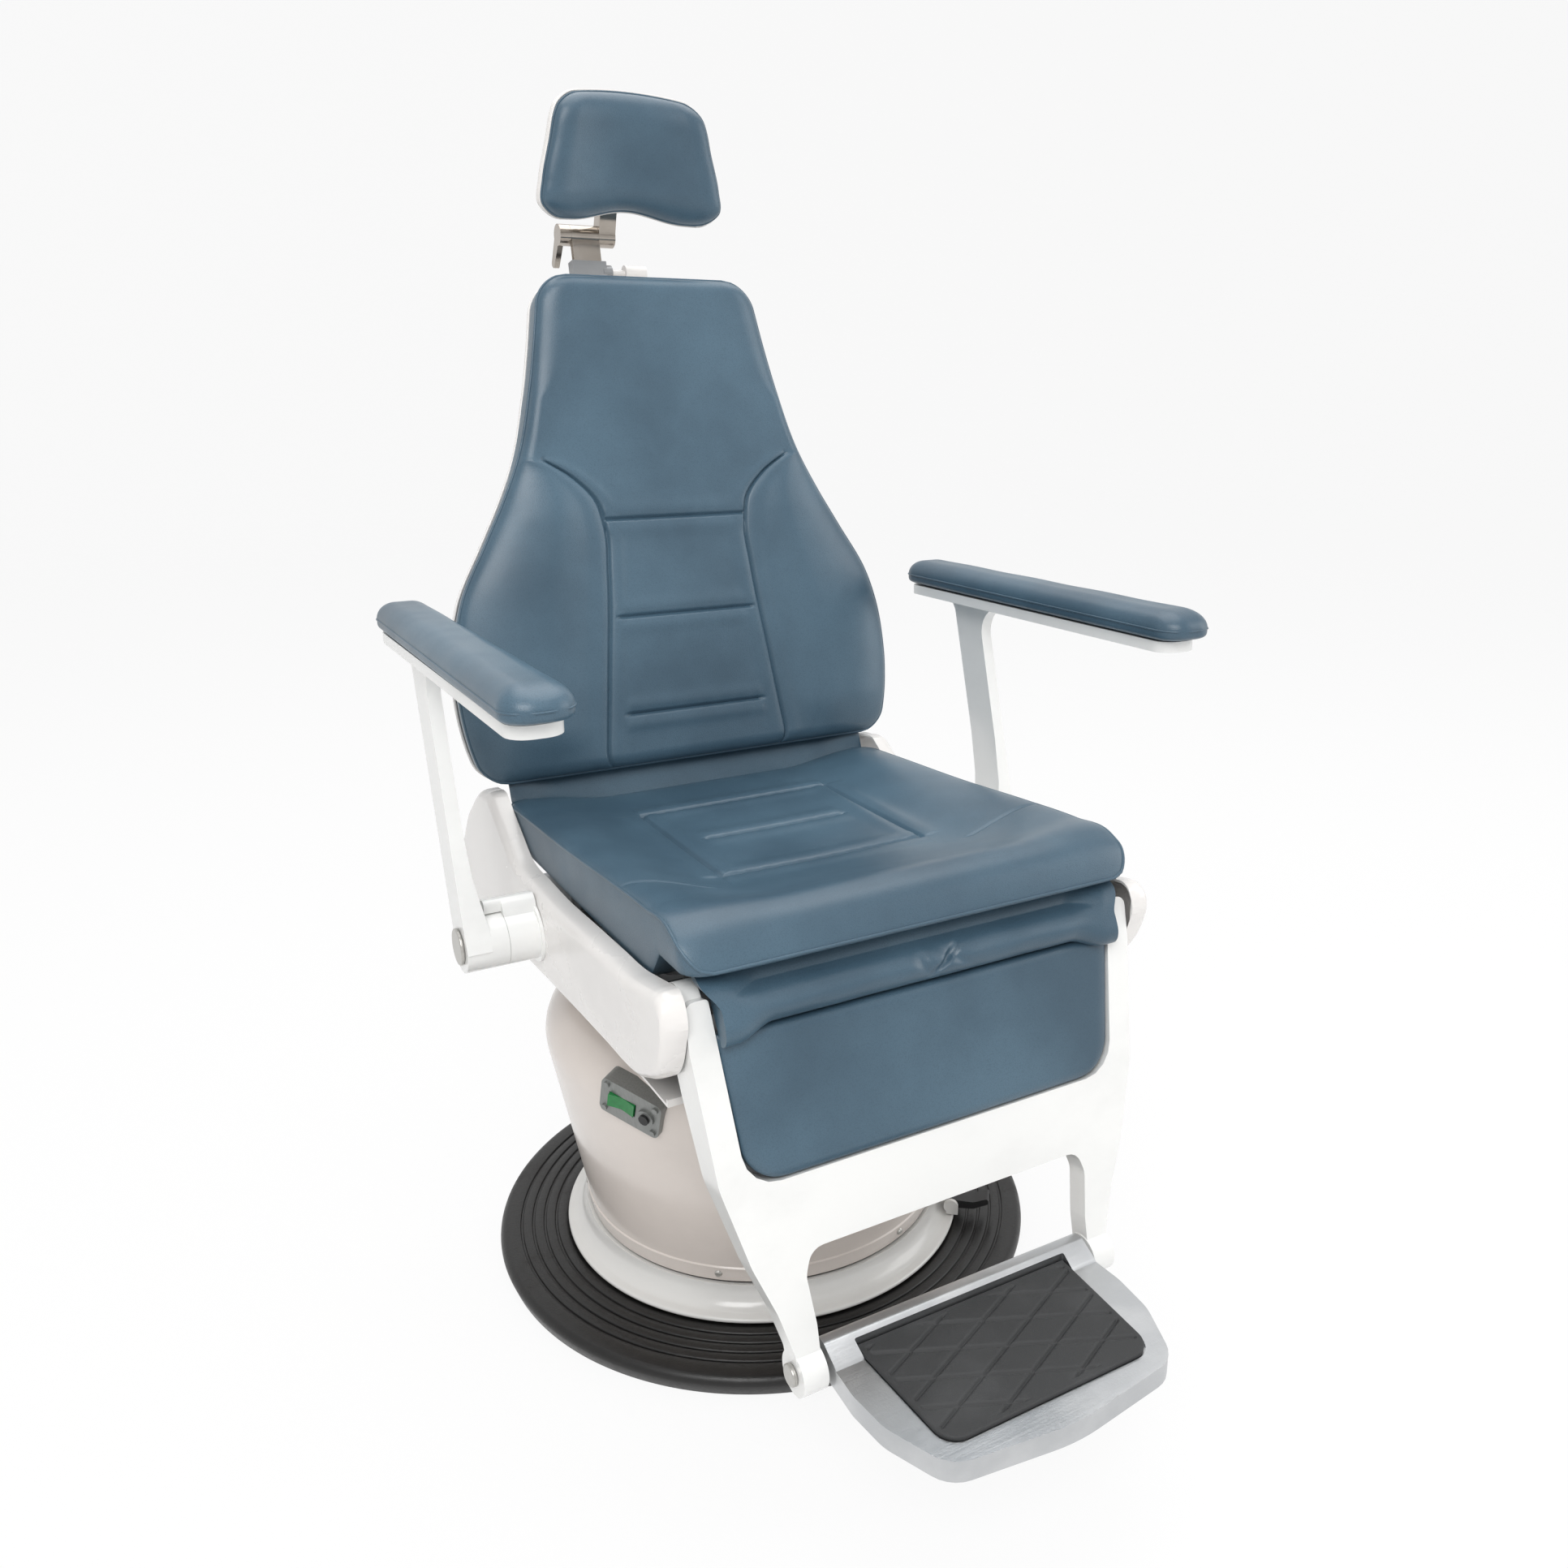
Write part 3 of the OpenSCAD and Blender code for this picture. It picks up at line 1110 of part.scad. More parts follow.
// Chrome arm beside the mast's joint, leaning forward to the head pad's joint
module headrest_arm() color(chrome_metal) {
    rod_x([mast_x - mast_w / 2, tilt_y, tilt_z], mast_w + seat_gap + eps, neck_pin_r);
    rod_x([neck_low_x, tilt_y, tilt_z], neck_w, tilt_r);
    side_plate(neck_low_x, neck_w, rounded([[tilt_y + tilt_r * 0.9, tilt_z],
        [tilt_y - neck_lead * 0.15, head_tilt_z - neck_rise * 0.3],
        [head_tilt_y + neck_top_r * 0.6, head_tilt_z + neck_top_r * 0.8],
        [head_tilt_y - neck_top_r * 0.8, head_tilt_z],
        [tilt_y - neck_lead * 0.55, tilt_z + neck_rise * 0.55], [tilt_y - tilt_r * 0.9, tilt_z]],
        [0, neck_rise, 0, 0, neck_rise, 0], 4));
    rod_x([neck_low_x, head_tilt_y, head_tilt_z], neck_w, neck_top_r);
    rod_x([neck_low_x - bracket_gap - bracket_ear, head_tilt_y, head_tilt_z],
        neck_w + 2 * (bracket_gap + bracket_ear), neck_pin_r);
}

// Lock lever on the end of the mast's joint
module headrest_lever() color(chrome_metal) {
    x0 = mast_x - mast_w / 2 - seat_gap;
    rod_x([x0 - lever_hub, tilt_y, tilt_z], lever_hub, tilt_r);
    side_plate(x0 - lever_hub, lever_plate, rounded([[tilt_y - tilt_r * 0.7, tilt_z],
        [tilt_y + tilt_r * 1.6, tilt_z - tilt_r * 3], [tilt_y + tilt_r * 2.3, tilt_z - tilt_r * 2.6],
        [tilt_y + tilt_r * 0.8, tilt_z]], [0, tilt_r / 3, tilt_r / 3, 0], 4));
}

// The head pad's own frame, on its vertical middle and leaning forward at the top
module in_head() translate([0, head_y, head_z]) rotate([head_lean, 0, 0]) children();

// Plan curve of the head pad: its middle lies further back than its wings
function head_curve(x) = head_bow * (1 - pow(abs(x) / head_hw, 2));

// Half width of the head pad over its height and the arch of its lower edge
function head_half(v) = head_hw * lookup(v, [[0, 0.95], [0.12, 1.02], [0.3, 1], [0.6, 0.91], [0.85, 0.83],
    [1, 0.73]]);
function head_s(u, v) = head_h * (v - 0.5) + head_arch * (1 - v) * (1 - v) * bump(u, 0.85)
    - head_fall * v * u * u;

module head_solid(front, rear, grow, edge) pad(even_us(14), even_vs(12), function (u, v, side)
    let (hw = head_half(v) - end_cut(min(v, 1 - v) * head_h, head_corner) + grow, x = hw * u,
         rise = rim_rise(u, v, edge, edge * 1.6))
    [x, head_curve(x) * (side > 0 ? 1 : 1 - 0.6 * rise) + (side > 0 ? front[0] - front[1] * rise
        : front[0] + rear * pow(rise, 0.5)),
     head_s(u, v) + grow * (2 * v - 1)]);

module headrest_cushion() color(vinyl_blue) in_head()
    head_solid([head_t * 0.45, head_t * 0.45], head_t * 0.5, 0, 0.3);

module headrest_shell() color(white_paint) in_head() difference() {
    head_solid([head_t * 0.5, 0], head_t * 0.5 + head_shell_t, head_grow, 0.25);
    head_solid([head_t * 0.5, eps], head_t * 0.5, head_ease, 0.25);
}

// Bracket screwed to the head shell, with the ears of the pad's joint
module headrest_bracket() color(chrome_metal) difference() {
    base_y = 0.4 * head_curve(0) + head_t + head_shell_t + seat_gap;
    front = head_y + (base_y + bracket_t) * cos(head_lean);
    union() {
        pair_at(neck_x) side_plate(neck_w / 2 + bracket_gap, bracket_ear,
            [[head_tilt_y + neck_top_r * 0.7, head_tilt_z - neck_top_r],
             [head_tilt_y + neck_top_r * 0.7, head_tilt_z + neck_top_r],
             [front - bracket_t * 0.6, head_tilt_z + neck_top_r * 1.5],
             [front + bracket_t * 0.4, head_tilt_z - neck_top_r * 1.5]]);
        in_head() box([neck_x - neck_w / 2 - 2 * bracket_ear, base_y, -bracket_low],
            [neck_x + neck_w / 2 + 2 * bracket_ear, base_y + bracket_t, bracket_t]);
    }
    rod_x([neck_x - neck_w, head_tilt_y, head_tilt_z], 2 * neck_w, neck_pin_r + run_gap);
}

// A piece and its mirror image about the plane x
module pair_at(x) translate([x, 0, 0]) pair() children();

// Outer edge of the leg frame in its own plane, from the knee down to the foot
leg_edge = [[knee_hw, leg_top_s], [knee_hw, leg_top_s * 0.75], [knee_hw * 0.955, 12], [knee_hw * 0.868, -68],
    [knee_hw * 0.79, -118], [foot_hw + 1, -160], [foot_hw - side_gap, fold_s]];

// Inner edge of a foot, from its tip up to the cross bar
gap_edge = [[gap_hw + side_gap, fold_s], [gap_hw + side_gap, -140], [gap_hw + 6, -92],
    [gap_hw - 2, bar_low_s]];

// Left edge of the cushion's recess, from the top down
recess_edge = [[-pad_hw_top - 2, leg_top_s], [-pad_hw_low - 2, bar_high_s]];

function flip(pts) = [for (p = reversed(pts)) [-p[0], p[1]]];

// Side view of the deep flanks
flank_line = [[0, leg_top_s - 12], [0, fold_s], [frame_t, -140], [frame_t + 4, -60], [flank_d, 90],
    [flank_d, leg_top_s - 12]];

// Outline of the frame; its first leg_side_n points are the left side, from knee to foot
leg_side_n = 31;
function leg_outline() = rounded(
    concat(leg_edge, gap_edge, flip(gap_edge), flip(leg_edge), recess_edge, flip(recess_edge)),
    [10, 60, 90, 90, 60, 20, 0, 0, 30, 22, 24, 24, 22, 30, 0, 0, 20, 60, 90, 90, 60, 10, 4, pad_corner,
     pad_corner, 4], 4);

// Cast leg frame: face, deeper flanks, knee ears, and feet with the fold bores
module leg_frame() color(white_paint) difference() {
    side = [for (i = [0:leg_side_n - 1]) leg_outline()[i]];
    union() {
        in_leg() translate([0, frame_t, 0]) rotate([90, 0, 0]) linear_extrude(frame_t)
            polygon(leg_outline());
        in_leg() pair() intersection() {
            translate([0, flank_d, 0]) rotate([90, 0, 0]) linear_extrude(flank_d - frame_t / 2)
                polygon(concat(side, [for (p = reversed(side)) [p[0] - flank_t, p[1]]]));
            side_plate(0, knee_hw * 2, flank_line);
        }
        pair() {
            rod_x([leg_ear_x, -knee_y, hinge_z], knee_hw - 3 - leg_ear_x, tube_r + 6);
            rod_x([gap_hw, fold_y, fold_z], foot_hw - gap_hw, foot_r);
        }
    }
    pair() {
        rod_x([leg_ear_x - rail, -knee_y, hinge_z], knee_hw - leg_ear_x + 2 * rail, tube_r + run_gap);
        rod_x([gap_hw - eps, fold_y, fold_z], foot_hw - gap_hw + 2 * eps, fold_pin_r);
    }
}

// Tube across both knee ears, with the levers that the synchronising bars join
module leg_torque_tube() color(steel_metal) {
    lever = [-knee_y + lever_back, hinge_z - lever_down];
    rod_x([-knee_hw + 4, -knee_y, hinge_z], 2 * (knee_hw - 4), tube_r);
    pair() {
        side_plate(back_ear_x, back_ear_t, [[-knee_y - tube_r, hinge_z - tube_r * 0.2],
            [lever[0] - stub_r * 1.7, lever[1] - stub_r], [lever[0] + stub_r * 1.7, lever[1] - stub_r * 0.6],
            [-knee_y + tube_r, hinge_z + tube_r * 0.2]]);
        rod_x([back_ear_x, lever[0], lever[1]], back_ear_t, stub_r * 2);
        rod_x([link_x - side_gap, lever[0], lever[1]], back_ear_x - link_x + 2 * side_gap, stub_r);
    }
}

// Steel pan behind the leg cushion, screwed to the frame's rear
module leg_pan() color(steel_metal) in_leg() translate([0, frame_t + seat_gap + leg_pan_t, 0])
    rotate([90, 0, 0]) linear_extrude(leg_pan_t) polygon(rounded(
        [[-pad_hw_top + 2, pad_top_s - 4], [-pad_hw_low - 8, bar_high_s - 10],
         [pad_hw_low + 8, bar_high_s - 10],
         [pad_hw_top - 2, pad_top_s - 4]], [8, pad_corner, pad_corner, 8], 4));

// Leg cushion inside the frame's recess, its face slightly crowned
module leg_cushion() color(vinyl_blue) in_leg() {
    h = pad_top_s - bar_high_s - leg_pad_gap;
    pad(even_us(14), even_vs(12), function (u, v, side)
        let (d = v * h, hw = pad_hw_low + (pad_hw_top - pad_hw_low) * v
                - (d < pad_corner ? end_cut(d, pad_corner) : 0) - leg_pad_gap,
             rise = rim_rise(u, v, 0.08, 0.16))
        [hw * u, side > 0 ? 5 - 7 * rise - 3 * (1 - u * u) * rise : 5 + (leg_pad_t - 7) * pow(rise, 0.3),
         bar_high_s + leg_pad_gap + v * h]);
}

// Bolts that the footplate folds on, with domed heads outside the feet
module footplate_bolts() color(zinc) pair() {
    rod_x([rib_hw - rib_d, fold_y, fold_z], foot_hw + seat_gap - rib_hw + rib_d, fold_pin_r - run_gap / 5);
    rod_x([foot_hw + seat_gap, fold_y, fold_z], bolt_head_h, bolt_head_r);
}

// Plan of the footplate ahead of its hinge rib, shrunk by d
function plate_plan(d) = let (y1 = fold_y - plate_reach) rounded(
    [[-rib_hw + d, fold_y - rib_d / 2], [-plate_hw + d + 2, shoulder_y], [-plate_hw + d, fold_y - 60],
     [-plate_hw * 0.97 + d, fold_y - 105], [-plate_hw * 0.8 + d * 0.7, y1 + 14 + d], [0, y1 - 2 + d],
     [plate_hw * 0.8 - d * 0.7, y1 + 14 + d], [plate_hw * 0.97 - d, fold_y - 105],
     [plate_hw - d, fold_y - 60], [plate_hw - d - 2, shoulder_y], [rib_hw - d, fold_y - rib_d / 2]],
    [0, 8, 60, 60, 34, 200, 34, 60, 60, 8, 0], 5);

// Cast footplate: rim, web and the thick hinge rib
module footplate() color(cast_metal) difference() {
    union() {
        translate([0, 0, plate_low]) linear_extrude(rim_h) polygon(plate_plan(0));
        side_plate(-rib_hw, 2 * rib_hw, rounded(
            [[fold_y - rib_d / 2 - 12, plate_low], [fold_y + rib_d / 2 - 6, plate_low + 2],
             [fold_y + rib_d / 2 - 6, plate_low + rib_h], [fold_y - 4, plate_low + rib_h],
             [fold_y - rib_d / 2 - 12, plate_low + rim_h]], [2, 12, 8, 8, 10], 4));
    }
    translate([0, 0, plate_low - eps]) linear_extrude(rim_h - web_t + eps) difference() {
        polygon(plate_plan(rim_w));
        translate([-plate_hw, fold_y - rib_d]) square([2 * plate_hw, rib_d * 2]);
    }
    translate([0, 0, plate_low + rim_h - mat_t / 3]) linear_extrude(mat_t * 4) polygon(mat_plan(-mat_play));
    pair() rod_x([rib_hw - rib_d - eps, fold_y, fold_z], rib_d + 2 * eps, fold_pin_r + run_gap);
}

// Grooves of the mat: spacing, half width, depth, and the plain margin round them
mat_pitch = 44;
mat_groove = 1.2;
mat_margin = 6;
mat_play = 0.6;

function mat_plan(d) = rounded(
    [[-mat_hw_back + d, mat_back_y - d], [-mat_hw_front + d, mat_front_y + d],
     [mat_hw_front - d, mat_front_y + d], [mat_hw_back - d, mat_back_y - d]],
    [2, mat_corner, mat_corner, 2], 5);

// Ribbed rubber mat in the recess of the footplate, with crossing grooves
module footplate_mat() color(mat_grey) difference() {
    translate([0, 0, plate_low + rim_h - mat_t / 3]) linear_extrude(mat_t) polygon(mat_plan(0));
    intersection() {
        translate([0, 0, plate_low + rim_h + mat_t * 2 / 3 - mat_groove]) linear_extrude(mat_t)
            polygon(mat_plan(mat_margin));
        for (a = [32, -32], i = [-3:3])
            translate([i * mat_pitch, (mat_back_y + mat_front_y) / 2, plate_low]) rotate([0, 0, a])
                box([-mat_groove, -plate_reach, 0], [mat_groove, plate_reach, rim_h * 2]);
    }
}

base_rubber_ring();
base_casting();
lower_bearing_race();
pedal_bracket();
swivel_lock_pedal();
upper_bearing_race();
turntable_plate();
lift_guide_tube();
hydraulic_cylinder();
pump_unit();
column_cover();
cover_screws();
switch_plate();
mains_inlet();
power_rocker();
breaker_button();
lift_inner_tube();
piston_rod();
lift_sleeve();
seat_frame();
hinge_pins();
seat_pan();
seat_cushion();
side_cover_right();
side_cover_left();
seat_under_cover();
arm_boss_right();
arm_boss_left();
arm_pivot_pins();
recline_actuator();
hip_gusset();
knee_apron();
actuator_rod();
sync_link();
back_frame();
back_shell();
shell_screws();
back_cushion();
headrest_guide();
height_knob();
headrest_mast();
headrest_arm();
headrest_lever();
headrest_bracket();
headrest_shell();
headrest_cushion();
armrest_right();
arm_pad_right();
armrest_left();
arm_pad_left();
leg_frame();
leg_torque_tube();
leg_pan();
leg_cushion();
footplate_bolts();
footplate();
footplate_mat();
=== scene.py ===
import math
import bmesh
import bpy
import numpy as np
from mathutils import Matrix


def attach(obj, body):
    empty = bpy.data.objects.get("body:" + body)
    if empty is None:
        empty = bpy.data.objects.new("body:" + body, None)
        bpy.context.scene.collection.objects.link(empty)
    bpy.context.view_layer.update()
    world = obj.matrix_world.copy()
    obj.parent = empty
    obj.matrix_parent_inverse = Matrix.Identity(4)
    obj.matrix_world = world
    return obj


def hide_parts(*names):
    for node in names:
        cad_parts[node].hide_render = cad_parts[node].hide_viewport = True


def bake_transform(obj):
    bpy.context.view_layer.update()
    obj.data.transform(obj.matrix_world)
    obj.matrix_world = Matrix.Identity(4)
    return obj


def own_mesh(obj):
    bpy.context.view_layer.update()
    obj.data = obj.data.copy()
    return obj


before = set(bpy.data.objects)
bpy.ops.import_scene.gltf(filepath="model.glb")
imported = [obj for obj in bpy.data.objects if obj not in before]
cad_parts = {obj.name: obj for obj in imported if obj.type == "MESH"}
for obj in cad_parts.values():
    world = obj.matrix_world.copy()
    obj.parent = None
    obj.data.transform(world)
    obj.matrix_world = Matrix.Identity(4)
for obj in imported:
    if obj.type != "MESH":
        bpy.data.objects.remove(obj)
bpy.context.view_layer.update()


# The room: a pale floor that turns up into a wall far behind the chair, seen white by the
# camera and by the chrome, and lit by two wide soft boxes and a weak one from the right.
# The camera stands at the chair's right front corner, a little above the armrests.
mm = 0.001
FLOOR_HALF, FLOOR_FRONT, WALL_FOOT, WALL_BEND, WALL_TOP = 40000, -12000, 7000, 3000, 14000
FLOOR_TONE, FLOOR_GLOW = (0.9, 0.9, 0.9, 1), 0.9
WHITE = (1, 1, 1, 1)
LIT_POINT = (0, 0, 0.6)
WORLD_LIGHT, WORLD_SHINE = 0.42, 0.36
SENSOR, LENS, SHIFT_X, SHIFT_Y = 36, 29.63, -0.0347, 0.0005
CAMERA_AT, CAMERA_DOWN, CAMERA_TURN = (-0.636, -1.292, 1.022), 17.26, -30.06


class Value:
    """A shader socket that can be written into sums; each operator adds its Math node."""

    def __init__(self, finish, socket):
        self.finish, self.socket = finish, socket

    def maths(self, kind, *values):
        """Math node of that kind on these values."""
        return self.finish.add("ShaderNodeMath", {"operation": kind}, *values)

    def __add__(self, other):
        return self.maths("ADD", self, other)

    def __sub__(self, other):
        return self.maths("SUBTRACT", self, other)

    def __rsub__(self, other):
        return self.maths("SUBTRACT", other, self)

    def __mul__(self, other):
        return self.maths("MULTIPLY", self, other)

    __radd__, __rmul__ = __add__, __mul__

    def above(self, low, high):
        """0 below low, 1 above high and a smooth step between."""
        return self.finish.add("ShaderNodeMapRange", {"interpolation_type": "SMOOTHSTEP"},
                               self, low, high)


class Finish:
    """A material, or the world: add() makes any node, and coat() a material's one shader."""

    def __init__(self, name, made_in=bpy.data.materials):
        self.material = made_in.new(name)
        self.material.use_nodes = True
        self.tree = self.material.node_tree
        self.tree.nodes.clear()
        self.place = self.add("ShaderNodeTexCoord", {}, output="Object")

    def add(self, kind, settings, *values, output=0, **named):
        """Node with its settings; values fill its inputs in order, None leaves one as it is,
        and named values go to the inputs of that name."""
        node = self.tree.nodes.new(kind)
        for key, value in settings.items():
            setattr(node, key, value)
        for key, value in [*enumerate(values), *named.items()]:
            socket = node.inputs[key.replace("_", " ") if isinstance(key, str) else key]
            if isinstance(value, Value):
                self.tree.links.new(value.socket, socket)
            elif value is not None:
                socket.default_value = value
        return Value(self, node.outputs[output]) if node.outputs else None

    def noise(self, scale, detail=2.0, stretch=(1, 1, 1), rough=0.5):
        """Noise of that many cells a metre, 0 to 1, stretched along an axis by a small factor."""
        at = self.add("ShaderNodeMapping", {}, Vector=self.place, Scale=stretch)
        return self.add("ShaderNodeTexNoise", {}, Vector=at, Scale=scale, Detail=detail,
                        Roughness=rough)

    def cells(self, scale):
        """Distance to the nearest point of a scatter of that many cells a metre."""
        return self.add("ShaderNodeTexVoronoi", {}, Vector=self.place, Scale=scale)

    def mix(self, share, a, b):
        """Colour a where share is 0 and b where it is 1; the colours are inputs 6 and 7."""
        return self.add("ShaderNodeMix", {"data_type": "RGBA"}, share, *[None] * 5, a, b, output=2)

    def bump(self, height, depth):
        """Normal of a surface raised by height, 0 to 1, times depth in metres."""
        return self.add("ShaderNodeBump", {}, Strength=1.0, Distance=depth, Height=height)

    def coat(self, **sockets):
        """The finished material: one principled shader with these sockets."""
        shader = self.add("ShaderNodeBsdfPrincipled", {}, **sockets)
        self.add("ShaderNodeOutputMaterial", {}, Surface=shader)
        return self.material


def from_arrays(name, points, *blocks):
    """Mesh object of points in millimetres and blocks of quads, rows of four vertex numbers."""
    mesh = bpy.data.meshes.new(name)
    mesh.from_pydata((np.reshape(points, (-1, 3)) * mm).tolist(), [],
                     np.concatenate(blocks).tolist())
    made = bpy.data.objects.new(name, mesh)
    bpy.context.scene.collection.objects.link(made)
    return made


def grid_faces(ids):
    """Quads between neighbouring rows and columns of a grid of vertex numbers."""
    return np.stack([ids[:-1, :-1], ids[:-1, 1:], ids[1:, 1:], ids[1:, :-1]], -1).reshape(-1, 4)


def backdrop():
    """Floor and wall joined by a quarter round: y = foot + bend sin a, z = bend (1 - cos a)."""
    a = np.linspace(0, np.pi / 2, 24)
    y = np.concatenate([[FLOOR_FRONT], WALL_FOOT + WALL_BEND * np.sin(a), [WALL_FOOT + WALL_BEND]])
    z = np.concatenate([[0], WALL_BEND * (1 - np.cos(a)), [WALL_TOP]])
    points = [np.stack([np.full(len(y), x), y, z], -1) for x in (-FLOOR_HALF, FLOOR_HALF)]
    ids = np.arange(2 * len(y)).reshape(-1, 2)
    made = from_arrays("backdrop", np.stack(points, 1), grid_faces(ids))
    finish = Finish("studio_floor")
    seen = finish.add("ShaderNodeMath", {"operation": "MAXIMUM"},
                      finish.add("ShaderNodeLightPath", {}, output="Is Camera Ray"),
                      finish.add("ShaderNodeLightPath", {}, output="Is Glossy Ray"))
    lit = finish.add("ShaderNodeBsdfDiffuse", {}, Color=FLOOR_TONE)
    glow = finish.add("ShaderNodeEmission", {}, Color=WHITE, Strength=1.0)
    both = finish.add("ShaderNodeMixShader", {}, seen * FLOOR_GLOW, lit, glow)
    finish.add("ShaderNodeOutputMaterial", {}, Surface=both)
    made.data.materials.append(finish.material)


def soft_box(name, place, size, watts):
    """Rectangular lamp of a size in metres, turned towards the seat."""
    lamp = bpy.data.lights.new(name, "AREA")
    lamp.shape, lamp.size, lamp.size_y, lamp.energy = "RECTANGLE", *size, watts
    made = bpy.data.objects.new(name, lamp)
    bpy.context.scene.collection.objects.link(made)
    made.location = place
    x, y, z = np.array(LIT_POINT) - place
    made.rotation_euler = math.atan2(math.hypot(x, y), -z), 0, math.atan2(y, x) - math.pi / 2


backdrop()
soft_box("key_light", (-1.6, -2.6, 3.2), (2.6, 2.0), 100)
soft_box("top_light", (0.4, 0.6, 3.6), (3.0, 3.0), 62)
soft_box("right_light", (3.2, -1.6, 1.8), (2.0, 2.6), 34)

world = Finish("studio", bpy.data.worlds)
shine = world.add("ShaderNodeLightPath", {}, output="Is Glossy Ray") * WORLD_SHINE + WORLD_LIGHT
sky = world.add("ShaderNodeBackground", {}, Color=WHITE, Strength=shine)
world.add("ShaderNodeOutputWorld", {}, Surface=sky)
bpy.context.scene.world = world.material

camera_data = bpy.data.cameras.new("photo_camera")
camera_data.sensor_width, camera_data.lens = SENSOR, LENS
camera_data.shift_x, camera_data.shift_y = SHIFT_X, SHIFT_Y
camera = bpy.data.objects.new("photo_camera", camera_data)
bpy.context.scene.collection.objects.link(camera)
camera.location = CAMERA_AT
camera.rotation_euler = math.radians(90 - CAMERA_DOWN), 0, math.radians(CAMERA_TURN)
bpy.context.scene.camera = camera
bpy.context.scene.view_settings.view_transform = "Standard"


# Round foot: a ribbed black rubber ring lies round a dished iron casting, painted white.
# The ring is moulded in one piece, with four tread grooves on its top and a rounded edge.
RING_R, RING_H, RING_IN_R, RING_ROUND = 330, 25, 235, 9
SHELF_R, SHELF_Z, OFF_FLOOR, RING_FIT = 248.5, 24.2, 0.4, 0.3
GROOVE_RS = 262 + 14 * np.arange(4)
GROOVE = np.array([[-2.6, 0], [-1.6, -0.6], [-1.1, -2.2], [1.1, -2.2], [1.6, -0.6], [2.6, 0]])
FLANGE_R, FLANGE_Z, FLANGE_ROUND = 247, 28, 3
COLLAR_R, COLLAR_Z, DISH_DEPTH, DISH_IN = 222, 57, 26, 6
WELL_Z, HUB_R, HUB_Z = 12, 96, 30


def linear(r, g, b):
    """Linear light of a colour written as sRGB 0 to 255: ((c + .055) / 1.055) ** 2.4."""
    c = np.array([r, g, b]) / 255
    return tuple(np.where(c <= 0.04045, c / 12.92, ((c + 0.055) / 1.055) ** 2.4)) + (1.0,)


def seat_on(made, body, slot_name, material, *nodes):
    """The piece takes its material, moves with the body and stands for the nodes; slot_name is not
    used."""
    made.data.materials.clear()
    made.data.materials.append(material)
    if body:
        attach(made, body)
    if nodes:
        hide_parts(*nodes)
    return made


def smooth_shaded(made, degrees=60):
    """Smooth shading but for edges sharper than that many degrees."""
    made.data.shade_smooth()
    made.data.set_sharp_from_angle(angle=math.radians(degrees))
    return made


def outward(made, gap=0.02):
    """Merges doubles closer than gap millimetres and turns every face outwards."""
    mesh = bmesh.new()
    mesh.from_mesh(made.data)
    bmesh.ops.remove_doubles(mesh, verts=mesh.verts, dist=gap * mm)
    bmesh.ops.dissolve_degenerate(mesh, edges=mesh.edges, dist=gap * mm / 10)
    bmesh.ops.recalc_face_normals(mesh, faces=mesh.faces)
    mesh.to_mesh(made.data)
    mesh.free()
    return made


def lathe(name, profile, turns):
    """Ring or plug turned from a closed profile of (r, z) points: x = r cos a, y = r sin a."""
    a = np.linspace(0, 2 * np.pi, turns, endpoint=False)[:, None]
    r, z = profile.T
    points = np.stack(np.broadcast_arrays(r * np.cos(a), r * np.sin(a), z), -1)
    ids = np.arange(turns * len(profile)).reshape(turns, -1)
    ids = np.concatenate([ids, ids[:1]], 0)
    ids = np.concatenate([ids, ids[:, :1]], 1)
    return outward(from_arrays(name, points, grid_faces(ids)))


def arc(cx, cz, r, start, end, n):
    """Points of an arc about (cx, cz), from start to end degrees."""
    a = np.radians(np.linspace(start, end, n))
    return np.stack([cx + r * np.cos(a), cz + r * np.sin(a)], -1)


def tread_rubber():
    """Worn black rubber: dull, slightly brown, paler where shoes have scuffed it."""
    finish = Finish("tread_rubber")
    scuff = finish.noise(9, 6, (1, 1, 1), 0.65).above(0.5, 0.75)
    dust = finish.noise(160, 3).above(0.45, 0.8)
    tone = finish.mix(scuff * 0.4 + dust * 0.2, linear(10, 9, 8), linear(36, 32, 30))
    grain = finish.noise(900, 2)
    return finish.coat(Base_Color=tone, Roughness=0.36 + scuff * 0.22 + dust * 0.1,
                       Normal=finish.bump(grain + dust * 0.5, 0.0002))


def white_paint(name, gloss, tone):
    """Baked white paint: glossy, with faint orange peel and a little soiling in patches."""
    finish = Finish(name)
    soil = finish.noise(5, 5, (1, 1, 1.6), 0.6).above(0.42, 0.8)
    soiled = tuple(0.93 * c for c in tone)
    colour = finish.mix(soil * 0.6, linear(*tone), linear(*soiled))
    peel = finish.noise(240, 2)
    return finish.coat(Base_Color=colour, Roughness=gloss + soil * 0.09, Coat_Weight=0.35,
                       Coat_Roughness=0.12, Normal=finish.bump(peel, 0.00006))


PAINT = white_paint("white_paint", 0.2, (240, 240, 238))
# The foot casting and pedal bracket get a greyer copy of the same white paint: painted shade under
# the chair.
SHADED_FOOT_PAINT = white_paint("shaded_foot_paint", 0.2, (226, 225, 222))
tread = np.concatenate([GROOVE + [r, RING_H] for r in GROOVE_RS])
ring = lathe("rubber_ring", np.concatenate([
    [[RING_IN_R + RING_FIT, OFF_FLOOR], [RING_R - 6, OFF_FLOOR], [RING_R - 4.5, OFF_FLOOR + 1.6]],
    arc(RING_R - RING_ROUND, RING_H - RING_ROUND, RING_ROUND, -8, 82, 9),
    [[RING_R - 14, RING_H]], tread[::-1],
    [[SHELF_R + 1, RING_H], [SHELF_R, SHELF_Z], [RING_IN_R + RING_FIT, SHELF_Z]]]), 360)
seat_on(smooth_shaded(ring, 50), "base", "black_rubber", tread_rubber(), "base_rubber_ring")

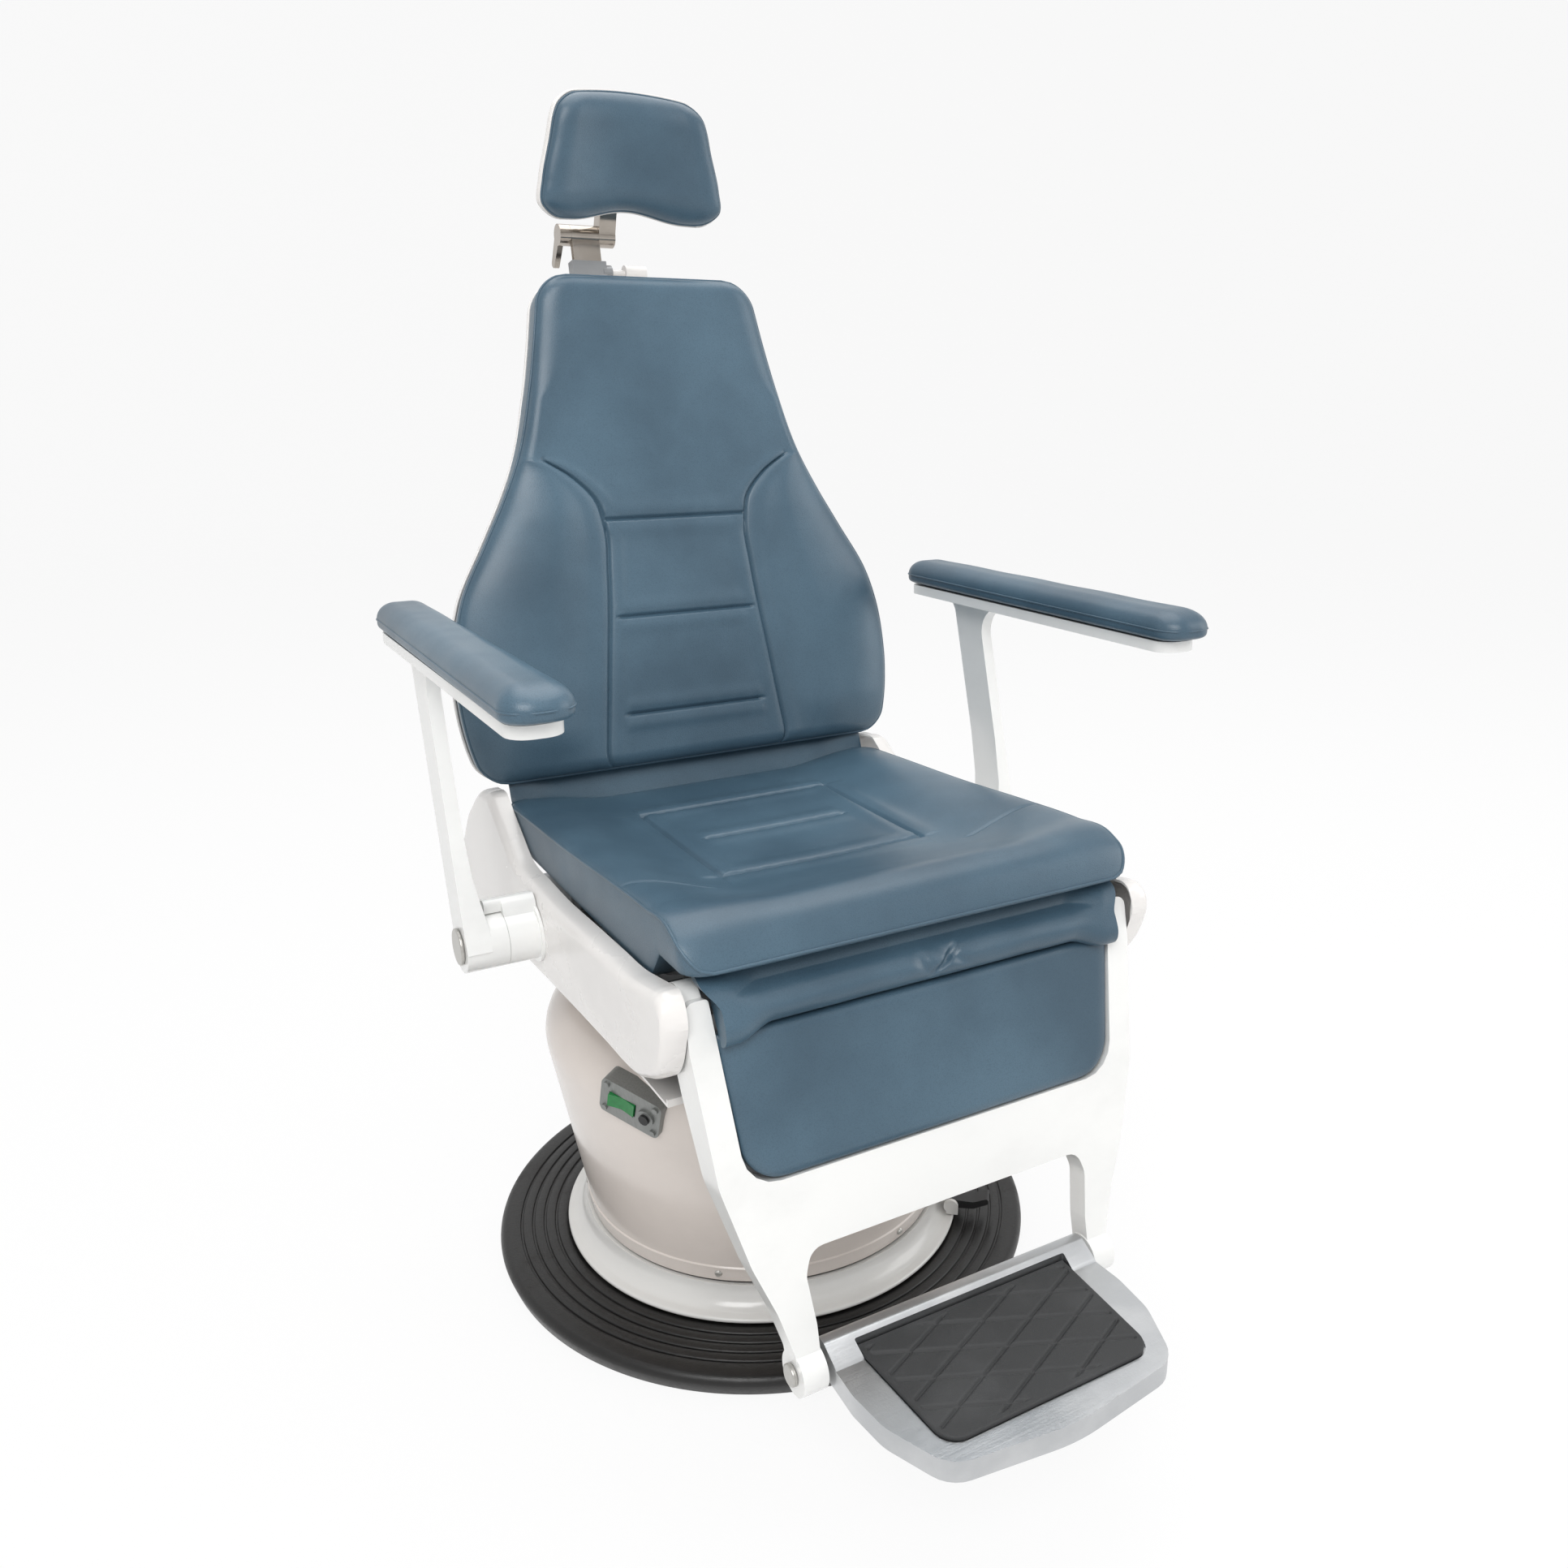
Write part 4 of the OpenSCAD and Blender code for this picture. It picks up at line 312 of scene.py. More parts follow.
plug_r = RING_IN_R - OFF_FLOOR
dish = FLANGE_R - DISH_IN - COLLAR_R
swing = np.radians(np.linspace(8, 90, 14))
foot = lathe("foot_casting", np.concatenate([
    [[0, OFF_FLOOR], [plug_r, OFF_FLOOR], [plug_r, SHELF_Z + 0.4]],
    arc(FLANGE_R - FLANGE_ROUND, FLANGE_Z, FLANGE_ROUND, -70, 90, 8),
    np.stack([COLLAR_R + dish * (1 - np.sin(swing)), COLLAR_Z - DISH_DEPTH * np.cos(swing)], -1),
    [[COLLAR_R - 1, COLLAR_Z], [COLLAR_R - 6, COLLAR_Z - 1], [COLLAR_R - 7, WELL_Z],
     [HUB_R + 1, WELL_Z], [HUB_R, HUB_Z], [0, HUB_Z]]]), 300)
seat_on(smooth_shaded(foot, 40), "base", "white_paint", SHADED_FOOT_PAINT, "base_casting")


# Column cover, pressed from sheet in two halves and painted white, with zinc pan-head screws
# through its skirt. The lift sleeve that slides up through its throat has the same paint.
# The column's and sleeve's white paint gets a darker, beige tone here: painted shade from the seat
# above them.
SHADED_COLUMN_PAINT = white_paint("shaded_column_paint", 0.22, (219, 210, 203))
MERGE_GAP, FLAT_ANGLE = 0.004, 0.5


def dressed(node, body, slot_name, material, edge, steps=3, degrees=40):
    """Copy of a CAD node with flat faces joined up, its edges rounded by edge millimetres and
    its curved faces shaded smooth."""
    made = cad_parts[node].copy()
    made.data = made.data.copy()
    made.name = node + "_finish"
    made.parent = None
    for key in [key for key in made.keys() if key.startswith("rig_")]:
        del made[key]
    bpy.context.scene.collection.objects.link(made)
    mesh = bmesh.new()
    mesh.from_mesh(made.data)
    bmesh.ops.remove_doubles(mesh, verts=mesh.verts, dist=MERGE_GAP * mm)
    if edge:
        bmesh.ops.dissolve_limit(mesh, angle_limit=math.radians(FLAT_ANGLE), verts=mesh.verts,
                                 edges=mesh.edges)
    mesh.to_mesh(made.data)
    mesh.free()
    for name in ("custom_normal", "sharp_edge"):
        if name in made.data.attributes:
            made.data.attributes.remove(made.data.attributes[name])
    smooth_shaded(made, degrees)
    if edge:
        round_off = made.modifiers.new("rounded_edges", "BEVEL")
        round_off.width, round_off.segments = edge * mm, steps
        round_off.limit_method, round_off.angle_limit = "ANGLE", math.radians(degrees)
        round_off.use_clamp_overlap = True
        round_off.harden_normals = True
    return seat_on(made, body, slot_name, material, node)


def zinc():
    """Zinc-plated steel: a satin metal with fine mottling."""
    finish = Finish("zinc_plate")
    cloud = finish.noise(260, 4)
    tone = finish.mix(cloud, linear(170, 169, 165), linear(205, 203, 198))
    return finish.coat(Base_Color=tone, Metallic=1.0, Roughness=0.24 + cloud * 0.2,
                       Normal=finish.bump(cloud, 0.00004))


ZINC = zinc()
dressed("column_cover", "turntable", "white_paint", SHADED_COLUMN_PAINT, 0)
dressed("lift_sleeve", "lift", "white_paint", SHADED_COLUMN_PAINT, 0)
dressed("pedal_bracket", "base", "white_paint", SHADED_FOOT_PAINT, 0.6)
dressed("cover_screws", "turntable", "zinc", ZINC, 0.4)


# Seat cushion: moulded foam under blue-grey vinyl. A sunken panel with three pressed channels
# lies between raised bolsters, the sides are a separate strip, and the front rolls over.
SEAT_HW, SEAT_FRONT, SEAT_REAR, SEAT_Z = 249, 368, 160, 552
SEAT_SPAN = SEAT_FRONT + SEAT_REAR
SEAT_CORNER, SEAM_X = 0.1 * SEAT_HW, 0.49 * SEAT_HW
SEAT_PROFILE = [[-1, -12], [-0.965, 5], [-0.9, 20], [-0.75, 21], [-0.5, 16], [-0.2, 8], [0.2, 1],
                [0.47, -4]]
SEAT_UNDER = np.array([[-1, 537], [-0.82, 537], [-0.76, 506], [1, 506]])
PANEL_Z, PANEL_V, PANEL_FROM, PANEL_TO, PANEL_EDGE = 534, 0.382, 0.373, 0.806, 0.012
SEAT_CHANNELS = ((-166, 0.505), (55, 0.505), (-52, 0.36))
SEAT_ROWS = 0.292, PANEL_V, 0.598, 0.801
SEAT_WIDTHS, SEAT_SWELL_OUT = (2.6, 2.4, 9), 13
CREASE_Y, CREASE_U, CREASE_W, CREASE_SHARE = -214, 0.58, 3.5, 0.6
SEAT_CROWN, SEAT_GROOVE, SEAT_SWELL, SEAT_RIPPLE, SEAT_SAG, SAG_Y = 8, 3.6, 1.8, 0.35, 2.2, -110
SEAT_ROUND, SEAT_PIPE, OFF_LINE = (0.3, 0.12), (1.6, 0.3), 1e3


def lookup(x, table):
    """Smooth curve through (position, value) pairs: cubic spans with mean slopes at the pairs."""
    t, y = np.array(table, float).T
    slope = np.gradient(y, t)
    x = np.clip(x, t[0], t[-1])
    i = np.clip(np.searchsorted(t, x, side="right") - 1, 0, len(t) - 2)
    h = t[i + 1] - t[i]
    s = (x - t[i]) / h
    return ((2 * s ** 3 - 3 * s ** 2 + 1) * y[i] + (s ** 3 - 2 * s ** 2 + s) * h * slope[i]
            + (3 * s ** 2 - 2 * s ** 3) * y[i + 1] + (s ** 3 - s ** 2) * h * slope[i + 1])


def smooth(a):
    """0 below 0, 1 above 1 and 3 a^2 - 2 a^3 between."""
    b = np.clip(a, 0, 1)
    return b * b * (3 - 2 * b)


def bell(d, w):
    """1 at distance 0 and near 0 past 2 w: exp(-(d / w) ** 2)."""
    return np.exp(-(d / w) ** 2)


def quarter(a):
    """0 at an edge and 1 beyond the distance 1 from it, rising as a quarter round."""
    return np.sqrt(1 - (1 - np.clip(a, 0, 1)) ** 2)


def rise_of(u, v, share_u, share_v):
    """0 at a pad's rim and 1 inside it: a quarter round over each share of the half widths."""
    return quarter((1 - abs(u)) / share_u) * quarter((1 - abs(2 * v - 1)) / share_v)


def end_cut(d, r):
    """How much narrower a pad is at distance d from an end rounded in plan by r."""
    d = np.clip(d, 0, r)
    return r - np.sqrt(r * r - (r - d) ** 2)


def closer(n, *lines):
    """n + 1 values from -1 to 1, closer at both ends, with thirteen more round each line given."""
    base = np.sin(np.pi / 2 * np.linspace(-1, 1, n + 1))
    extra = [line + np.linspace(-0.03, 0.03, 13) for line in lines]
    every = np.unique(np.round(np.clip(np.concatenate([base, *extra]), -1, 1), 5))
    return every[np.concatenate([[True], np.diff(every) > 0.0004])]


def rows_of(n, *lines):
    """closer() from 0 to 1 for a pad's rows, with its lines as shares of the length."""
    return closer(n, *[2 * line - 1 for line in lines]) / 2 + 0.5


def across(u, half, seam):
    """Distance from the middle: the seam at |u| = .5 and the rim at 1, straight between."""
    return np.sign(u) * np.where(abs(u) <= 0.5, 2 * abs(u) * seam,
                                 seam + (half - seam) * (2 * abs(u) - 1))


def pressed(d, share, lines, widths, out):
    """Groove and swell of a seam, at distance d, and of pressed lines, at the distances lines:
    bells on them, and bells at out to both sides. Widths are those of seam, line and swell."""
    seam_w, line_w, swell_w = widths
    groove = [bell(d, seam_w) * share, *[bell(k, line_w) for k in lines]]
    swell = [bell(abs(d) - out, swell_w) * share, *[bell(abs(k) - out, swell_w) for k in lines]]
    return np.maximum.reduce(groove), np.maximum.reduce(swell)


def pad(name, us, vs, place):
    """Closed pad over the grid us x vs: place(u, v, 1) is its face, place(u, v, -1) its rear,
    and the two share their rim."""
    u, v = np.meshgrid(us, vs)
    points = np.concatenate([np.stack(np.broadcast_arrays(*place(u, v, side)), -1).reshape(-1, 3)
                             for side in (1, -1)])
    face = np.arange(u.size).reshape(u.shape)
    rear = face + u.size
    for rim in (np.s_[0], np.s_[-1], np.s_[:, 0], np.s_[:, -1]):
        rear[rim] = face[rim]
    made = from_arrays(name, points, grid_faces(face), grid_faces(rear)[:, ::-1])
    return smooth_shaded(outward(made, 0.001))


def tube(name, path, radius, closed, sides=8):
    """Round cord along a path of points: each ring lies square to the path's direction."""
    along = np.roll(path, -1, 0) - np.roll(path, 1, 0) if closed else np.gradient(path, axis=0)
    along /= np.linalg.norm(along, axis=1)[:, None] + 1e-12
    side = np.cross(along, (0.12, 0.31, 0.94))
    side /= np.linalg.norm(side, axis=1)[:, None]
    up = np.cross(side, along)
    a = np.linspace(0, 2 * np.pi, sides, endpoint=False)[:, None]
    points = path[:, None] + radius * (np.cos(a) * side[:, None] + np.sin(a) * up[:, None])
    ids = np.arange(len(path) * sides).reshape(-1, sides)
    ids = np.concatenate([ids, ids[:, :1]], 1)
    if closed:
        ids = np.concatenate([ids, ids[:1]], 0)
    made = from_arrays(name, points, grid_faces(ids))
    if not closed:
        mesh = bmesh.new()
        mesh.from_mesh(made.data)
        bmesh.ops.holes_fill(mesh, edges=mesh.edges, sides=sides)
        mesh.to_mesh(made.data)
        mesh.free()
    return smooth_shaded(outward(made, 0.001))


def piping(name, place, u, v, body, radius, out, closed=False):
    """Cord of vinyl along the line (u, v) of a pad, standing out from the pad's middle."""
    path = np.stack(np.broadcast_arrays(*place(u, v, 1)), -1)
    away = path - path.mean(0)
    away /= np.linalg.norm(away, axis=1)[:, None]
    seat_on(tube(name, path + away * out, radius, closed), body, "blue_vinyl", VINYL)


def blue_vinyl():
    """Upholstery vinyl: fine leather grain, slow changes of tone, a soft sheen rubbed smoother
    in places."""
    finish = Finish("blue_vinyl")
    cloud = finish.noise(4.5, 4, (1, 1, 1), 0.55)
    rub = finish.noise(13, 3).above(0.45, 0.75)
    grain = finish.cells(900)
    pores = finish.noise(1500, 3)
    colour = finish.mix(cloud.above(0.3, 0.75), linear(60, 83, 99), linear(80, 106, 123))
    colour = finish.mix(grain.above(0.35, 0.9) * 0.22, colour, linear(38, 56, 69))
    return finish.coat(Base_Color=colour, Roughness=0.31 + rub * 0.07 + pores * 0.05,
                       Normal=finish.bump((1 - grain) * 0.6 + pores * 0.4, 0.00016))


def seat_place(u, v, side):
    """Plan x = half width (u), y = front + v span; height = side seam + crown - sunken panel."""
    y = v * SEAT_SPAN - SEAT_FRONT
    hw = SEAT_HW - end_cut(np.minimum(v, 1 - v) * SEAT_SPAN, SEAT_CORNER)
    seam = SEAM_X * hw / SEAT_HW
    x = across(u, hw, seam)
    rise = rise_of(u, v, *SEAT_ROUND)
    edge = SEAT_Z + lookup(y / SEAT_FRONT, SEAT_PROFILE)
    if side < 0:
        under = np.interp(y / SEAT_FRONT, *SEAT_UNDER.T)
        return x, y, edge - (edge - under) * np.minimum(1, 2.2 * np.sqrt(rise))
    panel = smooth(2 - 2 * abs(u)) * smooth(v / PANEL_V)
    d = abs(x) - seam
    in_panel = smooth((v - PANEL_FROM) / PANEL_EDGE) * smooth((PANEL_TO - v) / PANEL_EDGE)
    lines = [np.where(abs(u) < reach, y - at, OFF_LINE) for at, reach in SEAT_CHANNELS]
    groove, swell = pressed(d, in_panel, lines, SEAT_WIDTHS, SEAT_SWELL_OUT)
    crease = CREASE_SHARE * bell(y - CREASE_Y, CREASE_W) * smooth((abs(u) - CREASE_U) / 0.06)
    groove = np.maximum(groove, crease)
    ripple = np.sin(x * 0.31 + 2 * np.sin(y * 0.09)) * sum(bell(k, 9) for k in lines)
    relief = SEAT_SWELL * swell - SEAT_GROOVE * groove + SEAT_RIPPLE * ripple
    sag = SEAT_SAG * bell(x, 110) * bell(y - SAG_Y, 90)
    return x, y, edge + SEAT_CROWN * rise - (edge - PANEL_Z) * panel + relief * rise - sag


VINYL = blue_vinyl()
seam_us = closer(150, -0.5, 0.5)
seat = pad("seat_cushion_vinyl", seam_us, rows_of(130, *SEAT_ROWS), seat_place)
seat_on(seat, "lift", "blue_vinyl", VINYL, "seat_cushion")
for name, sign in (("right", -1), ("left", 1)):
    piping("seat_piping_" + name, seat_place, sign * np.ones(200), np.linspace(0, 1, 200), "lift",
           *SEAT_PIPE)
piping("seat_piping_front", seat_place, np.linspace(-1, 1, 240), np.zeros(240), "lift", *SEAT_PIPE)


# Hip flap and knee roll: loose vinyl that bridges the gaps behind the seat and above the leg
# cushion. The flap's ends curl up over the side covers; the roll has a fold and three tucks.
FLAP_HW, FLAP_Y, FLAP_Z, FLAP_REACH, FLAP_CLIMB, FLAP_T = 242, 161, 545, 23.5, 21.5, 2.4
FLAP_CURL_Y, FLAP_CURL_Z, FLAP_DIP, FLAP_WAVE = 9, 10, 14, 1.5
ROLL_HW, ROLL_FLARE, ROLL_Y, ROLL_Z, ROLL_H, ROLL_IN = 221, 13, -362, 480, 53, 24
ROLL_BULGE, ROLL_REAR, ROLL_DROOP, TUCK_IN, TUCK_DOWN, TUCK_V = 18, 6, 9, 5, 2, 0.4
ROLL_TUCKS = ((-0.05, 0.1, 0.03, 0.7), (0.07, -0.35, 0.024, 1.1), (0.12, 0.3, 0.04, 0.6))


def flap_place(u, v, side):
    """Strip from the seat's rear (v 0) up and back to the backrest's lower edge (v 1)."""
    end = smooth((abs(u) - 0.72) / 0.28)
    y = FLAP_Y + FLAP_REACH * v - FLAP_CURL_Y * end * v
    dip = FLAP_DIP * smooth((1 - abs(u)) / 0.5) * (1 - v)
    wave = FLAP_WAVE * np.sin(3.1 * v + 6 * u) * (1 - end) * (1 - v)
    z = FLAP_Z - dip + FLAP_CLIMB * smooth(v) + wave + FLAP_CURL_Z * end * v ** 0.7
    return FLAP_HW * u, y, z + side * FLAP_T * rise_of(u, v, 0.02, 0.25)


def roll_place(u, v, side):
    """Roll hanging under the seat front: a bulge, a fold at mid height, tucks near the centre
    and ends that hang lower than the rest."""
    end = smooth((abs(u) - 0.76) / 0.18)
    middle = quarter(2.2 * v) * quarter((0.66 - v) / 0.3)
    s = (1 - end) * middle + end * quarter(3 * v) * quarter((1 - v) / 0.4)
    tuck = sum(bell(u - at - lean * (TUCK_V - v), wide) * weight * bell(v - TUCK_V, 0.2)
               for at, lean, wide, weight in ROLL_TUCKS)
    wave = 1.2 * np.sin(9 * u + 5 * v) + 0.7 * np.sin(23 * u - 7 * v)
    out = (ROLL_BULGE - TUCK_IN * tuck + wave * 0.5) * s
    if side < 0:
        out = -ROLL_REAR * np.sin(np.pi * np.clip(v, 0, 1))
    droop = ROLL_DROOP * end * (1 - v) ** 2
    y = ROLL_Y + ROLL_IN * v * v - out - droop
    z = ROLL_Z + ROLL_H * v - droop - TUCK_DOWN * tuck * s
    return (ROLL_HW + ROLL_FLARE * smooth((v - 0.5) / 0.4)) * u, y, z


flap = pad("hip_flap", np.linspace(-1, 1, 161), np.linspace(0, 1, 25), flap_place)
seat_on(flap, None, "blue_vinyl", VINYL, "hip_gusset")
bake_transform(flap)
roll = pad("knee_roll", closer(180, 0.0, 0.06, 0.12), rows_of(64), roll_place)
seat_on(roll, "lift", "blue_vinyl", VINYL, "knee_apron")
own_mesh(roll)


# Side covers and the pan cover: white moulded plastic round the welded seat frame, which is
# plain painted steel. The drive, its rod and the bars that tie back and leg rest lie inside.
COVER_X, COVER_T, COVER_WALL, COVER_CROWN, COVER_ROUND = 250.5, 24.5, 3, 1.5, 12.25
FACE_SHARE = 0.4
COVER_CORNERS = np.array([
    [-360, 528, 17], [-372, 500, 30], [-352, 440, 60], [-296, 416, 60], [-100, 407, 0],
    [60, 396, 0], [220, 388, 60], [312, 440, 40], [252, 518, 60], [196, 560, 30], [150, 566, 20],
    [112, 540, 0], [60, 507, 60], [-60, 504, 0], [-280, 513, 60]], float)
COVER_FRONT, COVER_BACK = (-370, 495, 502), (292, 446, 458)
COVER_YS = (-369.5, -368, -365, -360, -353, -345, -332, -318, -300, -284, -220, -140, -60, 0, 46,
            56, 66, 90, 114, 126, 138, 147, 158, 174, 190, 206, 228, 250, 266, 278, 286, 290)
PIN_Y, PIN_Z, PIN_BORE = -15, 457, 13.5


def rounded(corners, n=40):
    """Closed outline with each corner (y, z, r) rounded by r, or by what its sides leave room
    for: the arc's centre lies r / sin(half angle) from the corner along its bisector."""
    p, r = corners[:, :2], corners[:, 2]
    sides = [np.roll(p, turn, 0) - p for turn in (1, -1)]
    lengths = [np.linalg.norm(side, axis=1) for side in sides]
    a, b = (side / length[:, None] for side, length in zip(sides, lengths))
    half = np.arccos((a * b).sum(1)) / 2
    back = np.minimum(r / np.tan(half), 0.49 * np.minimum(*lengths))
    r = back * np.tan(half)
    bisector = (a + b) / np.linalg.norm(a + b, axis=1)[:, None]
    centre = p + bisector * (r / np.sin(half))[:, None]
    start, end = p + a * back[:, None] - centre, p + b * back[:, None] - centre
    first = np.arctan2(start[:, 1], start[:, 0])
    turn = (np.arctan2(end[:, 1], end[:, 0]) - first + 3 * np.pi) % (2 * np.pi) - np.pi
    angle = first[:, None] + turn[:, None] * np.linspace(0, 1, n)
    arcs = centre[:, None] + r[:, None, None] * np.stack([np.cos(angle), np.sin(angle)], -1)
    return arcs.reshape(-1, 2)


def side_stations():
    """Rows (y, low, high) of the cover: its outline cut at each y, to a tenth of a millimetre,
    with flats at both ends."""
    line = rounded(COVER_CORNERS)
    line = np.roll(line, -line[:, 0].argmin(), 0)
    far = line[:, 0].argmax()
    low, high = line[:far + 1], np.concatenate([line[far:], line[:1]])[::-1]
    rows = [COVER_YS, *[np.round(np.interp(COVER_YS, *rim.T), 1) for rim in (low, high)]]
    return np.concatenate([[COVER_FRONT], np.transpose(rows), [COVER_BACK]])


def cover_place(sign):
    """Place function of the cover on the side of that sign."""
    rows = side_stations()

    def place(u, v, side):
        """Crowned face, x = COVER_X + depth sqrt(rise), with columns closer together at its
        edge; the rear side lies one wall further in."""
        y = np.interp(v, np.linspace(0, 1, len(rows)), rows[:, 0])
        low, high = (lookup(y, rows[:, [0, k]]) for k in (1, 2))
        half = (high - low) / 2
        r = np.minimum(COVER_ROUND, 0.8 * half)
        flat = abs(u) <= FACE_SHARE
        d = np.where(flat, r, r * ((1 - abs(u)) / (1 - FACE_SHARE)) ** 2)
        h = np.where(flat, (half - r) * abs(u) / FACE_SHARE, half - d)
        e = np.minimum(y - rows[0, 0], rows[-1, 0] - y)
        wall = 0 if side > 0 else COVER_WALL
        edge = COVER_ROUND - wall
        rise = quarter((d - wall) / edge) * quarter((e - wall) / edge * 2)
        depth = COVER_T - wall - COVER_CROWN * (h / half) ** 2
        return sign * (COVER_X + depth * np.sqrt(rise)), y, (low + high) / 2 + np.sign(u) * h
    return place


def side_cover(sign):
    """Closed pad of both faces, with the bore of the arm's pin left out of them."""
    us, vs = np.linspace(-1, 1, 101), np.linspace(0, 1, 331)
    made = pad("side_cover_shell", us, vs, cover_place(sign))
    centres = np.empty(3 * len(made.data.polygons), np.float32)
    made.data.polygons.foreach_get("center", centres)
    y, z = centres.reshape(-1, 3).T[1:] / mm
    mesh = bmesh.new()
    mesh.from_mesh(made.data)
    mesh.faces.ensure_lookup_table()
    bored = [mesh.faces[i] for i in np.flatnonzero(np.hypot(y - PIN_Y, z - PIN_Z) < PIN_BORE)]
    bmesh.ops.delete(mesh, geom=bored, context="FACES")
    mesh.to_mesh(made.data)
    mesh.free()
    return made


def plain_steel():
    """Mill-finish steel: grey, brushed along its length, slightly stained."""
    finish = Finish("plain_steel")
    brushed = finish.noise(300, 3, (0.06, 1, 1))
    stain = finish.noise(14, 4).above(0.5, 0.8)
    tone = finish.mix(stain * 0.4, linear(150, 152, 154), linear(116, 114, 110))
    return finish.coat(Base_Color=tone, Metallic=0.9, Roughness=0.34 + brushed * 0.2,
                       Normal=finish.bump(brushed, 0.00005))


def hard_chrome():
    """Hard chrome: a mirror with the faintest haze and fine wipe marks."""
    finish = Finish("chrome_plate")
    haze = finish.noise(40, 4)
    marks = finish.noise(700, 2, (1, 1, 0.08))
    tone = finish.mix(haze, linear(186, 179, 171), linear(156, 148, 139))
    return finish.coat(Base_Color=tone, Metallic=1.0, Roughness=0.07 + haze * 0.08 + marks * 0.03,
                       Normal=finish.bump(marks, 0.00001))


def black_plastic():
    """Moulded plastic: spark-eroded texture, with a slight bloom."""
    finish = Finish("black_plastic")
    spark = finish.noise(1300, 2)
    bloom = finish.noise(30, 3)
    tone = finish.mix(bloom.above(0.4, 0.8) * 0.6, linear(26, 26, 27), linear(40, 40, 41))
    return finish.coat(Base_Color=tone, Roughness=0.42 + bloom * 0.1,
                       Normal=finish.bump(spark, 0.00008))


COVER = white_paint("white_cover", 0.24, (233, 230, 227))
STEEL, CHROME, BLACK = plain_steel(), hard_chrome(), black_plastic()
for side, sign in (("right", -1), ("left", 1)):
    seat_on(side_cover(sign), "lift", "white_cover", COVER, "side_cover_" + side)
    dressed("arm_boss_" + side, "lift", "white_paint", PAINT, 2.0, 4)
dressed("arm_pivot_pins", "lift", "zinc", ZINC, 1.6, 4)
plain = {
    STEEL: ["lower_bearing_race", "upper_bearing_race", "turntable_plate", "lift_guide_tube",
            "seat_frame", "hydraulic_cylinder", "lift_inner_tube", "seat_pan", "sync_link",
            "back_frame", "headrest_guide", "leg_torque_tube", "leg_pan"],
    CHROME: ["piston_rod", "actuator_rod"],
    ZINC: ["hinge_pins", "footplate_bolts", "shell_screws"],
    BLACK: ["swivel_lock_pedal", "pump_unit", "mains_inlet", "breaker_button",
            "recline_actuator"],
    COVER: ["seat_under_cover", "height_knob"]}
for material, names in plain.items():
    for name in names:
        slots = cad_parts[name].data.materials
        for i in range(len(slots)):
            slots[i] = material


# Backrest: a foam cushion in vinyl, bolstered at the hips, in a white moulded shell. It has
# two curved side seams and three pressed channels; the shell has a spine for the head guide.
BACK_HW, BACK_H, BACK_T = 287, 582, 52
BACK_Y, BACK_Z, BACK_LEAN = 145, 575, 10.8
BACK_RIM, CORNER_LOW, CORNER_TOP = 0.35 * BACK_T, 26, 34
BACK_WIDTHS = [[0, 0.93], [0.05, 0.966], [0.12, 0.993], [0.2, 1], [0.3, 0.979], [0.37, 0.937],
               [0.48, 0.812], [0.56, 0.72], [0.64, 0.641], [0.77, 0.561], [0.86, 0.519],
               [0.94, 0.488], [1, 0.466]]
BACK_SEAM = [[0, 0.432], [0.2, 0.38], [0.4, 0.332], [0.5, 0.324], [0.56, 0.36], [0.6, 0.44],
             [0.66, 0.62], [0.8, 0.4], [1, 0.3]]
BACK_CHANNELS, CHANNEL_HW, SEAM_END = (0.108, 0.311, 0.512), 92, 0.645
BACK_LINES, BACK_SWELL_OUT = (2.3, 2.2, 8), 12
BACK_GROOVE, BACK_SWELL, BACK_RIPPLE, BACK_ROUND, BACK_PIPE = 3.8, 1.6, 0.3, (0.3, 0.06), (1.7, 0.4)
BOLSTER, BACK_CROWN, LUMBAR, LUMBAR_S = 10, 4, 3.5, 150
SHELL_T, SHELL_GAP, SHELL_WALL, SHELL_ROUND = 24, 0.3, 3, (0.16, 0.08)
SPINE_T, SPINE_HW, SPINE_FLANK = 74, 54, 46
LEVER_X, LEVER_HW, LEVER_S, NOTCH_X, NOTCH_HW, NOTCH_S, NOTCH_T = 168, 6, 46, -30, 24, 524, 67


def leaned(y0, z0, lean, x, t, s):
    """Point of a frame leaning back by lean degrees: t goes into it and s up along it."""
    a = math.radians(lean)
    return x, y0 + t * math.cos(a) + s * math.sin(a), z0 - t * math.sin(a) + s * math.cos(a)


def in_back(x, t, s):
    """Point of the backrest, t behind the face of its cushion and s up from its lower edge."""
    return leaned(BACK_Y, BACK_Z, BACK_LEAN, x, t, s)


def back_half(v):
    """Half width at the share v of the height, before the corners are rounded."""
    return BACK_HW * lookup(v, BACK_WIDTHS)


def back_cut(v):
    """What the rounded corners take off the half width at both ends."""
    return np.where(v < 0.5, end_cut(v * BACK_H, CORNER_LOW), end_cut((1 - v) * BACK_H, CORNER_TOP))


